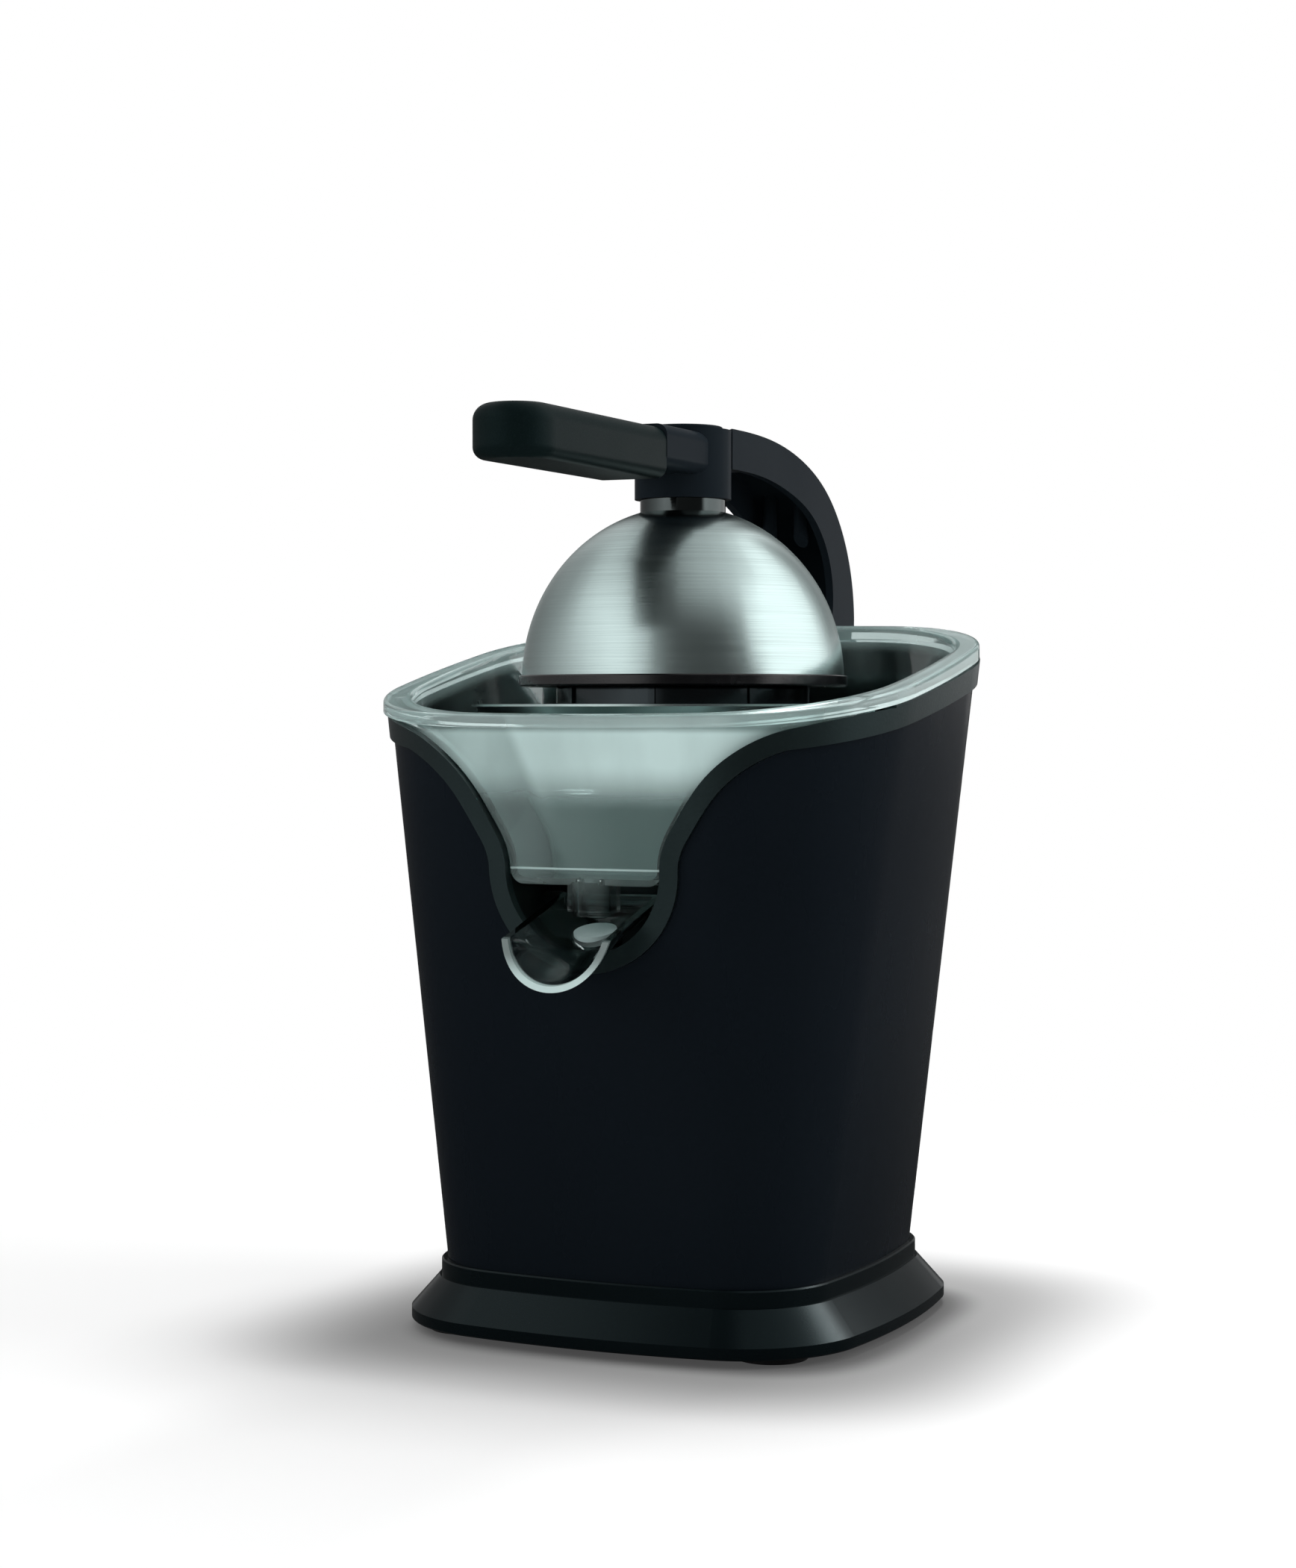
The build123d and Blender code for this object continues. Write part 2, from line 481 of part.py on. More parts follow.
def polar(radius, angle, start=(0.0, 0.0)):
    """The point at a distance and a direction in degrees from another."""
    return (start[0] + radius * cos(radians(angle)), start[1] + radius * sin(radians(angle)))


idler_xy = polar(MODULE * (OUTPUT_TEETH + IDLER_PINION_TEETH) / 2, IDLER_ANGLE)
motor_xy = polar(MODULE * (IDLER_TEETH + MOTOR_TEETH) / 2, MOTOR_ANGLE, idler_xy)
plate_top = GEARBOX_Z + GEARBOX_T

with BuildPart() as output_gear:
    with BuildSketch(Plane.XY.offset(OUTPUT_Z)):
        with Locations(Rotation(0, 0, IDLER_ANGLE)):
            add(gear_plan(OUTPUT_TEETH))
        with PolarLocations(15.5, 6):
            Circle(4.6, mode=Mode.SUBTRACT)
    extrude(amount=GEAR_T)
    with BuildSketch(Plane.XY.offset(OUTPUT_Z)):
        Circle(OUTPUT_HUB_R)
    extrude(amount=OUTPUT_HUB_TOP_Z - OUTPUT_Z)
    with BuildSketch(Plane.XY.offset(OUTPUT_Z)):
        RegularPolygon(HEX_FLATS / 2 + FIT, 6, major_radius=False)
    extrude(amount=OUTPUT_HUB_TOP_Z - OUTPUT_Z, mode=Mode.SUBTRACT)
output_gear.part.label = "output_gear"
export_step(output_gear.part, "parts/output_gear.step")

with BuildPart() as idler_gear:
    with BuildSketch(Plane.XY.offset(IDLER_Z)):
        with Locations(Location(idler_xy, MOTOR_ANGLE)):
            add(gear_plan(IDLER_TEETH))
    extrude(amount=GEAR_T)
    with BuildSketch(Plane.XY.offset(IDLER_Z + GEAR_T)):
        with Locations(Location(idler_xy, IDLER_ANGLE + 180 + 180 / IDLER_PINION_TEETH)):
            add(gear_plan(IDLER_PINION_TEETH))
    extrude(amount=OUTPUT_Z + GEAR_T + 1 - IDLER_Z - GEAR_T)
    with Locations((*idler_xy, IDLER_Z)):
        Hole(AXLE_R + FIT, depth=3 * GEAR_T)
idler_gear.part.label = "idler_gear"
export_step(idler_gear.part, "parts/idler_gear.step")

with BuildPart() as idler_axle:
    with BuildSketch(Plane.XY.offset(GEARBOX_Z)):
        with Locations(idler_xy):
            Circle(AXLE_R)
    extrude(amount=COVER_TOP_Z - GEARBOX_Z)
idler_axle.part.label = "idler_axle"
export_step(idler_axle.part, "parts/idler_axle.step")

with BuildPart() as motor_pinion:
    with BuildSketch(Plane.XY.offset(IDLER_Z - 1)):
        with Locations(Location(motor_xy, MOTOR_ANGLE + 180 + 180 / MOTOR_TEETH)):
            add(gear_plan(MOTOR_TEETH))
    extrude(amount=GEAR_T + 1)
    with BuildSketch(Plane.XY.offset(MOTOR_LOW_Z + 14)):
        with Locations(motor_xy):
            Circle(MOTOR_SHAFT_R)
    extrude(amount=IDLER_Z - MOTOR_LOW_Z - 14)
motor_pinion.part.label = "motor_pinion"
export_step(motor_pinion.part, "parts/motor_pinion.step")

with BuildPart() as motor_can:
    with BuildSketch(Plane.XY.offset(MOTOR_LOW_Z)):
        with Locations(motor_xy):
            Circle(MOTOR_R)
    extrude(amount=GEARBOX_Z - MOTOR_LOW_Z)
    fillet(motor_can.edges().group_by(Axis.Z)[0], 4)
    with BuildSketch(Plane.XY.offset(MOTOR_LOW_Z + 13)):
        with Locations(motor_xy):
            Circle(MOTOR_SHAFT_R + FIT)
    extrude(amount=GEARBOX_Z - MOTOR_LOW_Z - 13, mode=Mode.SUBTRACT)
    # cooling windows round the lower end
    with BuildSketch(Plane.XY.offset(MOTOR_LOW_Z + 8)):
        with Locations(motor_xy):
            with PolarLocations(MOTOR_R, 6):
                SlotOverall(9, 5, rotation=90)
    extrude(amount=12, mode=Mode.SUBTRACT)
motor_can.part.label = "motor_can"
export_step(motor_can.part, "parts/motor_can.step")

with BuildPart() as gearbox_base:
    with BuildSketch(Plane.XY.offset(GEARBOX_Z)):
        with Locations(PLATE_CENTRE):
            RectangleRounded(BOSS_SPACING[0] + 12, BOSS_SPACING[1] + 12, 6)
        with Locations(motor_xy):
            Circle(MOTOR_R)
            Circle(MOTOR_SHAFT_R + 1.0, mode=Mode.SUBTRACT)
        with Locations(PLATE_CENTRE):
            with GridLocations(*BOSS_SPACING, 2, 2):
                Circle(1.6, mode=Mode.SUBTRACT)
        with Locations(idler_xy):
            Circle(AXLE_R, mode=Mode.SUBTRACT)
        Circle(PLUNGER_R + 0.6, mode=Mode.SUBTRACT)
    extrude(amount=GEARBOX_T)
gearbox_base.part.label = "gearbox_base"
export_step(gearbox_base.part, "parts/gearbox_base.step")

with BuildPart() as gearbox_screws:
    with BuildSketch(Plane.XY.offset(GEARBOX_Z - 2.2)):
        with Locations(PLATE_CENTRE):
            with GridLocations(*BOSS_SPACING, 2, 2):
                Circle(3.2)
    extrude(amount=2.2)
    with BuildSketch(Plane.XY.offset(GEARBOX_Z)):
        with Locations(PLATE_CENTRE):
            with GridLocations(*BOSS_SPACING, 2, 2):
                Circle(1.6)
    extrude(amount=12.0)
gearbox_screws.part.label = "gearbox_screws"
export_step(gearbox_screws.part, "parts/gearbox_screws.step")


def cover_plan(outset):
    """The gear case's outline: one line round its three wheels."""
    with BuildSketch() as plan:
        Circle(MODULE * OUTPUT_TEETH / 2 + outset)
        with Locations(idler_xy):
            Circle(MODULE * IDLER_TEETH / 2 + outset)
        with Locations(motor_xy):
            Circle(MODULE * MOTOR_TEETH / 2 + outset)
        make_hull()
    return plan.sketch


with BuildPart() as gearbox_cover:
    with BuildSketch(Plane.XY.offset(plate_top)):
        add(cover_plan(4.0))
    extrude(amount=COVER_TOP_Z - plate_top)
    with BuildSketch(Plane.XY.offset(plate_top)):
        add(cover_plan(2.0))
    extrude(amount=COVER_TOP_Z - 3.0 - plate_top, mode=Mode.SUBTRACT)
    with BuildSketch(Plane.XY.offset(plate_top)):
        Circle(BEARING_R)
        with Locations(idler_xy):
            Circle(AXLE_R)
    extrude(amount=COVER_TOP_Z - plate_top, mode=Mode.SUBTRACT)
gearbox_cover.part.label = "gearbox_cover"
export_step(gearbox_cover.part, "parts/gearbox_cover.step")

with BuildPart() as output_bearing:
    with BuildSketch(Plane.XY.offset(OUTPUT_Z + GEAR_T + 0.3)):
        Circle(BEARING_R)
        Circle(OUTPUT_HUB_R + FIT, mode=Mode.SUBTRACT)
    extrude(amount=COVER_TOP_Z - OUTPUT_Z - GEAR_T - 0.3)
output_bearing.part.label = "output_bearing"
export_step(output_bearing.part, "parts/output_bearing.step")

# ---------------------------------------------------------------- start switch
with BuildPart() as start_switch:
    with BuildSketch(Plane.XY.offset(GEARBOX_Z - SWITCH_HEIGHT)):
        RectangleRounded(20.0, 6.4, 0.8)
    extrude(amount=SWITCH_HEIGHT)
    with BuildSketch(Plane.XY.offset(GEARBOX_Z - 6.5)):
        Circle(PLUNGER_R + FIT)
    extrude(amount=6.5, mode=Mode.SUBTRACT)
    # solder tags
    with BuildSketch(Plane.XY.offset(GEARBOX_Z - SWITCH_HEIGHT)):
        with GridLocations(7.5, 0, 3, 1):
            Rectangle(0.6, 3.0)
    extrude(amount=-4.0)
start_switch.part.label = "start_switch"
export_step(start_switch.part, "parts/start_switch.step")

with BuildPart() as switch_plunger:
    with BuildSketch(Plane.XY.offset(SPINDLE_LOW_Z - 0.2)):
        Circle(PLUNGER_R)
    extrude(amount=-(SPINDLE_LOW_Z - GEARBOX_Z + 3.0))
switch_plunger.part.label = "switch_plunger"
export_step(switch_plunger.part, "parts/switch_plunger.step")

# ---------------------------------------------------------------- spindle and its guides
with BuildPart() as drive_spindle:
    with BuildSketch(Plane.XY.offset(SPINDLE_LOW_Z)):
        RegularPolygon(HEX_FLATS / 2, 6, major_radius=False)
    extrude(amount=COLLAR_Z - SPINDLE_LOW_Z)
    with BuildSketch(Plane.XY.offset(COLLAR_Z)):
        Circle(COLLAR_R)
    extrude(amount=BUSH_LOW_Z - 0.2 - COLLAR_Z)
    with BuildSketch(Plane.XY.offset(BUSH_LOW_Z - 0.2)):
        Circle(SPINDLE_R)
    extrude(amount=REAMER_HUB_Z - BUSH_LOW_Z)
    with BuildSketch(Plane.XY.offset(REAMER_HUB_Z - 0.2)):
        RegularPolygon(HEX_FLATS / 2, 6, major_radius=False)
    extrude(amount=SPINDLE_TOP_Z - REAMER_HUB_Z + 0.2)
    chamfer(drive_spindle.edges().group_by(Axis.Z)[-1], 0.6)
drive_spindle.part.label = "drive_spindle"
export_step(drive_spindle.part, "parts/drive_spindle.step")

with BuildPart() as return_spring:
    coil_height = COLLAR_Z - OUTPUT_HUB_TOP_Z - SPRING_WIRE
    with BuildLine(Plane.XY.offset(OUTPUT_HUB_TOP_Z + SPRING_WIRE / 2)) as coil:
        Helix(pitch=coil_height / SPRING_TURNS, height=coil_height, radius=SPRING_R)
    with BuildSketch(Plane(coil.line @ 0, z_dir=coil.line % 0)):
        RegularPolygon(SPRING_WIRE / 2, 6)
    sweep(is_frenet=True)
return_spring.part.label = "return_spring"
export_step(return_spring.part, "parts/return_spring.step")

with BuildPart() as spindle_bush:
    with BuildSketch(Plane.XY.offset(BUSH_LOW_Z)):
        Circle(BUSH_R)
        Circle(SPINDLE_R + FIT, mode=Mode.SUBTRACT)
    extrude(amount=TOWER_TOP_Z - BUSH_LOW_Z)
spindle_bush.part.label = "spindle_bush"
export_step(spindle_bush.part, "parts/spindle_bush.step")

with BuildPart() as shaft_seal:
    with BuildSketch(Plane.XY.offset(TOWER_TOP_Z)):
        Circle(TOWER_R)
        Circle(SPINDLE_R + 0.3, mode=Mode.SUBTRACT)
    extrude(amount=2.0)
    chamfer(shaft_seal.edges().group_by(Axis.Z)[-1].sort_by(SortBy.RADIUS)[-1], 1.0)
shaft_seal.part.label = "shaft_seal"
export_step(shaft_seal.part, "parts/shaft_seal.step")

# ---------------------------------------------------------------- reamer
def reamer_form(outset):
    """The reamer's round outer form, grown by outset."""
    low, high, top = REAMER_LOW_Z - 1, REAMER_WALL_Z, REAMER_TOP_Z + outset
    curve = [(r + outset * 0.8, z + outset * 0.6) for r, z in REAMER_CURVE]
    with BuildPart() as form:
        with BuildSketch(Plane.XZ):
            with BuildLine():
                Polyline((0, top), (0, low), (REAMER_R + outset, low), (REAMER_R + outset, high))
                Spline((REAMER_R + outset, high), *curve, (0, top), tangents=((0, 1), (-1, 0)))
            make_face()
        revolve(axis=Axis.Z)
        split(bisect_by=Plane.XY.offset(REAMER_LOW_Z), keep=Keep.TOP)
    return form.part


with BuildPart() as reamer_blades:
    with BuildSketch(Plane.XY.offset(REAMER_LOW_Z)):
        with PolarLocations(0, REAMER_BLADES, start_angle=BLADE_PHASE):
            Rectangle(FAR, BLADE_T, align=(Align.MIN, Align.CENTER))
    extrude(amount=80)
    add(reamer_form(BLADE_RISE), mode=Mode.INTERSECT)

with BuildPart() as reamer_cone:
    add(reamer_form(0))
    add(reamer_blades.part)
    add(reamer_form(-REAMER_T), mode=Mode.SUBTRACT)
    with BuildPart() as reamer_hub:
        with BuildSketch(Plane.XY.offset(REAMER_HUB_Z)):
            Circle(REAMER_HUB_R)
            RegularPolygon(HEX_FLATS / 2 + FIT, 6, major_radius=False, mode=Mode.SUBTRACT)
        extrude(amount=SPINDLE_TOP_Z - REAMER_HUB_Z)
        with BuildSketch(Plane.XY.offset(SPINDLE_TOP_Z)):
            Circle(REAMER_HUB_R)
        extrude(amount=REAMER_TOP_Z - SPINDLE_TOP_Z)
        add(reamer_form(0), mode=Mode.INTERSECT)
reamer_cone.part.label = "reamer_cone"
export_step(reamer_cone.part, "parts/reamer_cone.step")

# ---------------------------------------------------------------- pressing dome
with BuildPart() as press_dome:
    with BuildSketch(Plane.XZ):
        with Locations((0, DOME_CENTRE_Z)):
            Ellipse(DOME_R, DOME_RISE)
            Ellipse(DOME_R - DOME_T, DOME_RISE - DOME_T, mode=Mode.SUBTRACT)
        with Locations((STUD_R, DOME_LOW_Z)):
            Rectangle(FAR, FAR, align=(Align.MIN, Align.MIN), mode=Mode.INTERSECT)
    revolve(axis=Axis.Z)
press_dome.part.label = "press_dome"
export_step(press_dome.part, "parts/press_dome.step")

with BuildPart() as dome_seal:
    lip_r = DOME_R - DOME_T - 0.3
    with BuildSketch(Plane.XZ):
        with BuildLine():
            Polyline(
                (lip_r - SEAL_LIP_T, SEAL_LOW_Z),
                (SEAL_R - 0.6, SEAL_LOW_Z),
                (SEAL_R, SEAL_LOW_Z + 0.6),
                (SEAL_R, DOME_LOW_Z - 0.4),
                (SEAL_R - 0.4, DOME_LOW_Z),
                (lip_r, DOME_LOW_Z),
                (lip_r, DOME_LOW_Z + SEAL_LIP),
                (lip_r - SEAL_LIP_T, DOME_LOW_Z + SEAL_LIP),
                close=True,
            )
        make_face()
    revolve(axis=Axis.Z)
dome_seal.part.label = "dome_seal"
export_step(dome_seal.part, "parts/dome_seal.step")

with BuildPart() as dome_neck:
    with BuildSketch(Plane.XZ):
        with Locations((STUD_R, DOME_CENTRE_Z + 40)):
            Rectangle(NECK_R - STUD_R, HUB_LOW_Z - DOME_CENTRE_Z - 40, align=(Align.MIN, Align.MIN))
        with Locations((0, DOME_CENTRE_Z)):
            Ellipse(DOME_R, DOME_RISE, mode=Mode.SUBTRACT)
    revolve(axis=Axis.Z)
dome_neck.part.label = "dome_neck"
export_step(dome_neck.part, "parts/dome_neck.step")

with BuildPart() as dome_stud:
    with BuildSketch(Plane.XY.offset(STUD_HEAD_Z)):
        Circle(2 * STUD_R)
    extrude(amount=-3.4)
    with BuildSketch(Plane.XY.offset(STUD_HEAD_Z)):
        Circle(STUD_R)
    extrude(amount=STUD_TOP_Z - STUD_HEAD_Z)
dome_stud.part.label = "dome_stud"
export_step(dome_stud.part, "parts/dome_stud.step")

# ---------------------------------------------------------------- lever hub and handle
with BuildPart() as lever_hub:
    with BuildSketch(Plane.XY.offset(HUB_LOW_Z)):
        Circle(HUB_R)
    extrude(amount=HUB_TOP_Z - HUB_LOW_Z)
    with BuildSketch(Plane.XZ.offset(-GRIP_BACK_Y)):
        with Locations((0, (BEAK_LOW_Z + BEAK_TOP_Z) / 2)):
            RectangleRounded(2 * BEAK_HALF, BEAK_TOP_Z - BEAK_LOW_Z, 4.0)
    extrude(amount=GRIP_BACK_Y)
    with BuildSketch(Plane.XZ.offset(-GRIP_BACK_Y)):
        with Locations((0, CORE_Z)):
            Rectangle(*CORE_SIZE)
    extrude(amount=-CORE_DEPTH, mode=Mode.SUBTRACT)
    with BuildSketch(Plane.XY.offset(HUB_LOW_Z)):
        Circle(STUD_R)
    extrude(amount=STUD_TOP_Z - HUB_LOW_Z, mode=Mode.SUBTRACT)
lever_hub.part.label = "lever_hub"
export_step(lever_hub.part, "parts/lever_hub.step")

with BuildPart() as hub_cap:
    with BuildSketch(Plane.XY.offset(HUB_TOP_Z)):
        Circle(CAP_R)
    extrude(amount=CAP_T)
    fillet(hub_cap.edges().group_by(Axis.Z)[-1], 1.0)
hub_cap.part.label = "hub_cap"
export_step(hub_cap.part, "parts/hub_cap.step")


def grip_block(low_z, high_z):
    """The handle's plan, round at the front, between two heights."""
    with BuildPart() as block:
        with BuildSketch(Plane.XY.offset(low_z)):
            with BuildLine():
                Polyline(
                    (GRIP_HALF, GRIP_TIP_Y + GRIP_HALF),
                    (GRIP_HALF, GRIP_BACK_Y),
                    (-GRIP_HALF, GRIP_BACK_Y),
                    (-GRIP_HALF, GRIP_TIP_Y + GRIP_HALF),
                )
                ThreePointArc(
                    (-GRIP_HALF, GRIP_TIP_Y + GRIP_HALF),
                    (0, GRIP_TIP_Y),
                    (GRIP_HALF, GRIP_TIP_Y + GRIP_HALF),
                )
            make_face()
        extrude(amount=high_z - low_z)
    return block.part


with BuildPart() as grip_form:
    add(grip_block(GRIP_LOW_Z, GRIP_TOP_Z))
    long_edges = grip_form.edges().filter_by_position(Axis.Y, -FAR, GRIP_BACK_Y - 1)
    fillet(long_edges.group_by(Axis.Z)[-1], 5.5)
    low_edges = grip_form.edges().filter_by_position(Axis.Y, -FAR, GRIP_BACK_Y - 1)
    fillet(low_edges.group_by(Axis.Z)[0], 4.0)

with BuildPart() as underside_space:
    with BuildSketch(Plane.XY.offset(GRIP_LOW_Z - 1)):
        with Locations((0, (SEAM_FRONT_Y + GRIP_BACK_Y) / 2)):
            Rectangle(4 * GRIP_HALF, GRIP_BACK_Y - SEAM_FRONT_Y)
    extrude(amount=SEAM_Z - GRIP_LOW_Z + 1)

with BuildPart() as core_space:
    with BuildSketch(Plane.XZ.offset(-GRIP_BACK_Y - CORE_DEPTH)):
        with Locations((0, CORE_Z)):
            Rectangle(*CORE_SIZE)
    extrude(amount=CORE_LENGTH)

handle_grip = Part() + (grip_form.part - underside_space.part - core_space.part)
handle_grip.label = "handle_grip"
export_step(handle_grip, "parts/handle_grip.step")

grip_underside = Part() + (grip_form.part & underside_space.part)
grip_underside.label = "grip_underside"
export_step(grip_underside, "parts/grip_underside.step")

core_space.part.label = "handle_core"
export_step(core_space.part, "parts/handle_core.step")

# ---------------------------------------------------------------- lever arm
with BuildPart() as arm_hollow:
    with BuildSketch(Plane.YZ):
        with BuildLine():
            Spline(*ARM_HOLLOW)
            Polyline(ARM_HOLLOW[-1], (130.6, 236), (80, 236), (80, 280), (22, 292), ARM_HOLLOW[0])
        make_face()
    extrude(amount=ARM_HALF - ARM_T, both=True)
    # two moulded posts under the roof
    with BuildSketch():
        with Locations((-ARM_POST_X, ARM_POST_Y), (ARM_POST_X, ARM_POST_Y)):
            Circle(ARM_POST_R)
    extrude(amount=3 * FAR, mode=Mode.SUBTRACT)

with BuildPart() as lever_arm:
    with BuildSketch(Plane.YZ):
        with BuildLine():
            Spline(*ARM_TOP)
            Line(ARM_TOP[-1], (PIVOT_Y + BOSS_R, PIVOT_Z))
            ThreePointArc(
                (PIVOT_Y + BOSS_R, PIVOT_Z),
                (PIVOT_Y, PIVOT_Z - BOSS_R),
                (PIVOT_Y - BOSS_R, PIVOT_Z),
            )
            Line((PIVOT_Y - BOSS_R, PIVOT_Z), ARM_UNDER[-1])
            Spline(*ARM_UNDER)
            Line(ARM_UNDER[0], ARM_TOP[0])
        make_face()
    extrude(amount=ARM_HALF, both=True)
    add(arm_hollow.part, mode=Mode.SUBTRACT)
    with BuildSketch(Plane.XY.offset(HUB_LOW_Z - 1)):
        Circle(HUB_R)
    extrude(amount=40, mode=Mode.SUBTRACT)
    with BuildSketch(Plane.YZ):
        with Locations((PIVOT_Y, PIVOT_Z)):
            Circle(PIVOT_PIN_R + FIT)
    extrude(amount=FAR, both=True, mode=Mode.SUBTRACT)
lever_arm.part.label = "lever_arm"
export_step(lever_arm.part, "parts/lever_arm.step")

# ---------------------------------------------------------------- lever hinge
with BuildPart() as hinge_bracket:
    with BuildSketch(Plane.YZ):
        with Locations((PIVOT_Y, PIVOT_Z)):
            Circle(EAR_R)
        with Locations(*[(BRACKET_Y, z) for z in BRACKET_Z]):
            Circle(BRACKET_EDGE_R)
        make_hull()
    extrude(amount=EAR_OUT, both=True)
    # slot between the ears
    with BuildSketch(Plane.YZ):
        with Locations((BRACKET_FACE_Y, BRACKET_Z[0])):
            Rectangle(FAR, FAR, align=(Align.MIN, Align.CENTER))
    extrude(amount=EAR_IN, both=True, mode=Mode.SUBTRACT)
    with BuildSketch(Plane.YZ):
        with Locations((PIVOT_Y, PIVOT_Z)):
            Circle(PIVOT_PIN_R)
    extrude(amount=FAR, both=True, mode=Mode.SUBTRACT)
    with BuildSketch(Plane.XZ.offset(-HINGE_SCREW_TIP_Y)):
        with Locations(*HINGE_SCREWS):
            Circle(HINGE_SCREW_R)
    extrude(amount=HINGE_SCREW_LENGTH, mode=Mode.SUBTRACT)
    add(wall_outer, mode=Mode.SUBTRACT)
hinge_bracket.part.label = "hinge_bracket"
export_step(hinge_bracket.part, "parts/hinge_bracket.step")

with BuildPart() as hinge_pin:
    with BuildSketch(Plane.YZ):
        with Locations((PIVOT_Y, PIVOT_Z)):
            Circle(PIVOT_PIN_R)
    extrude(amount=EAR_OUT + 1.5, both=True)
hinge_pin.part.label = "hinge_pin"
export_step(hinge_pin.part, "parts/hinge_pin.step")

with BuildPart() as hinge_screws:
    with BuildSketch(Plane.XZ.offset(-HINGE_SCREW_TIP_Y)):
        with Locations(*HINGE_SCREWS):
            Circle(HINGE_SCREW_R)
    extrude(amount=HINGE_SCREW_LENGTH)
    with BuildSketch(Plane.XZ.offset(HINGE_SCREW_LENGTH - HINGE_SCREW_TIP_Y - HINGE_HEAD_T + 0.5)):
        with Locations(*HINGE_SCREWS):
            Circle(HINGE_HEAD_R)
    extrude(amount=HINGE_HEAD_T)
    add(body_shell.part, mode=Mode.SUBTRACT)
hinge_screws.part.label = "hinge_screws"
export_step(hinge_screws.part, "parts/hinge_screws.step")

# ---------------------------------------------------------------- cord inlet
with BuildPart() as cord_gland:
    with BuildSketch(Plane.XZ.offset(-GLAND_FACE_Y)):
        with Locations((0, GLAND_Z)):
            Circle(GLAND_R + GLAND_FLANGE)
    extrude(amount=-GLAND_FLANGE_T)
    fillet(cord_gland.edges().sort_by(Axis.Y)[-1], 1.5)
    add(wall_outer, mode=Mode.SUBTRACT)
    with BuildSketch(Plane.XZ.offset(-GLAND_SLEEVE_Y)):
        with Locations((0, GLAND_Z)):
            Circle(GLAND_R)
    extrude(amount=-GLAND_SLEEVE)
    with BuildSketch(Plane.XZ):
        with Locations((0, GLAND_Z)):
            Circle(GLAND_BORE_R)
    extrude(amount=-FAR, mode=Mode.SUBTRACT)
cord_gland.part.label = "cord_gland"
export_step(cord_gland.part, "parts/cord_gland.step")

with BuildPart() as gland_nut:
    with BuildSketch(Plane.XZ.offset(-GLAND_NUT_Y)):
        with Locations((0, GLAND_Z)):
            RegularPolygon(GLAND_R + 2.5, 6, major_radius=False)
    extrude(amount=-GLAND_NUT_T)
    with BuildSketch(Plane.XZ):
        with Locations((0, GLAND_Z)):
            Circle(GLAND_R)
    extrude(amount=-FAR, mode=Mode.SUBTRACT)
    add(wall_inner, mode=Mode.INTERSECT)
gland_nut.part.label = "gland_nut"
export_step(gland_nut.part, "parts/gland_nut.step")

# ---------------------------------------------------------------- spout
def scoop_section(half_width, rim_z, floor_z):
    """A channel's cross-section: the space under a straight rim line and above an arc."""
    with BuildSketch() as section:
        with BuildLine():
            ThreePointArc((-half_width, rim_z), (0, floor_z), (half_width, rim_z))
            Line((-half_width, rim_z), (half_width, rim_z))
        make_face()
    return section.sketch


def scoop_space(inset):
    """The scoop's form from its rear wall to past its mouth, shrunk by inset."""
    with BuildPart() as space:
        for y, depth in SCOOP_SECTIONS:
            rim_z = SCOOP_RIM_Z + SCOOP_SLOPE * (y - SCOOP_TIP_Y)
            with BuildSketch(Plane.XZ.offset(-y)):
                add(scoop_section(SCOOP_HALF - inset, rim_z + inset, rim_z - depth + inset))
        loft()
    return space.part


plug_plane = Plane(
    origin=(0, PLUG_Y, PLUG_TOP_Z),
    x_dir=(1, 0, 0),
    z_dir=(0, -sin(radians(SCOOP_TILT)), cos(radians(SCOOP_TILT))),
)

with BuildPart() as scoop_hollow:
    add(scoop_space(SCOOP_T))
    split(bisect_by=Plane.XZ.offset(-SCOOP_BACK_Y + SCOOP_T), keep=Keep.TOP)

with BuildPart() as spout_scoop:
    add(scoop_space(0))
    with BuildSketch(plug_plane.offset(-PLUG_SEAT_DEPTH)):
        Circle(PLUG_R + PLUG_SEAT_WALL)
    extrude(amount=PLUG_SEAT_T)
    add(scoop_hollow.part, mode=Mode.SUBTRACT)
    with BuildSketch(plug_plane.offset(-PLUG_T)):
        Circle(PLUG_R + 0.1)
    extrude(amount=12, mode=Mode.SUBTRACT)
    with BuildSketch(plug_plane.offset(-PLUG_T - 8)):
        Circle(PLUG_STEM_R)
    extrude(amount=12, mode=Mode.SUBTRACT)
    # mouth cut back from the lip to the tips
    with BuildSketch(Plane.YZ):
        with BuildLine():
            Polyline(
                SCOOP_MOUTH_TOP,
                SCOOP_MOUTH_LOW,
                (-FAR, SCOOP_MOUTH_LOW[1]),
                (-FAR, SCOOP_MOUTH_TOP[1]),
                close=True,
            )
        make_face()
    extrude(amount=FAR, both=True, mode=Mode.SUBTRACT)
    # barrel round the pin
    with BuildSketch(Plane.YZ):
        with Locations((SPOUT_PIVOT_Y, SPOUT_PIVOT_Z)):
            Circle(SPOUT_BARREL_R)
    extrude(amount=SPOUT_BARREL_X, both=True)
    with BuildSketch(Plane.YZ):
        with Locations((SPOUT_PIVOT_Y, SPOUT_PIVOT_Z)):
            Circle(SPOUT_PIN_R + FIT)
    extrude(amount=FAR, both=True, mode=Mode.SUBTRACT)
spout_scoop.part.label = "spout_scoop"
export_step(spout_scoop.part, "parts/spout_scoop.step")

with BuildPart() as drip_plug:
    with BuildSketch(plug_plane.offset(-PLUG_T)):
        Circle(PLUG_R)
    extrude(amount=PLUG_T)
    with BuildSketch(plug_plane.offset(-PLUG_T)):
        Circle(PLUG_STEM_R)
    extrude(amount=-PLUG_STEM)
drip_plug.part.label = "drip_plug"
export_step(drip_plug.part, "parts/drip_plug.step")
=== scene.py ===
"""Finishes, small fittings and studio for a lever citrus press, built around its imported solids."""

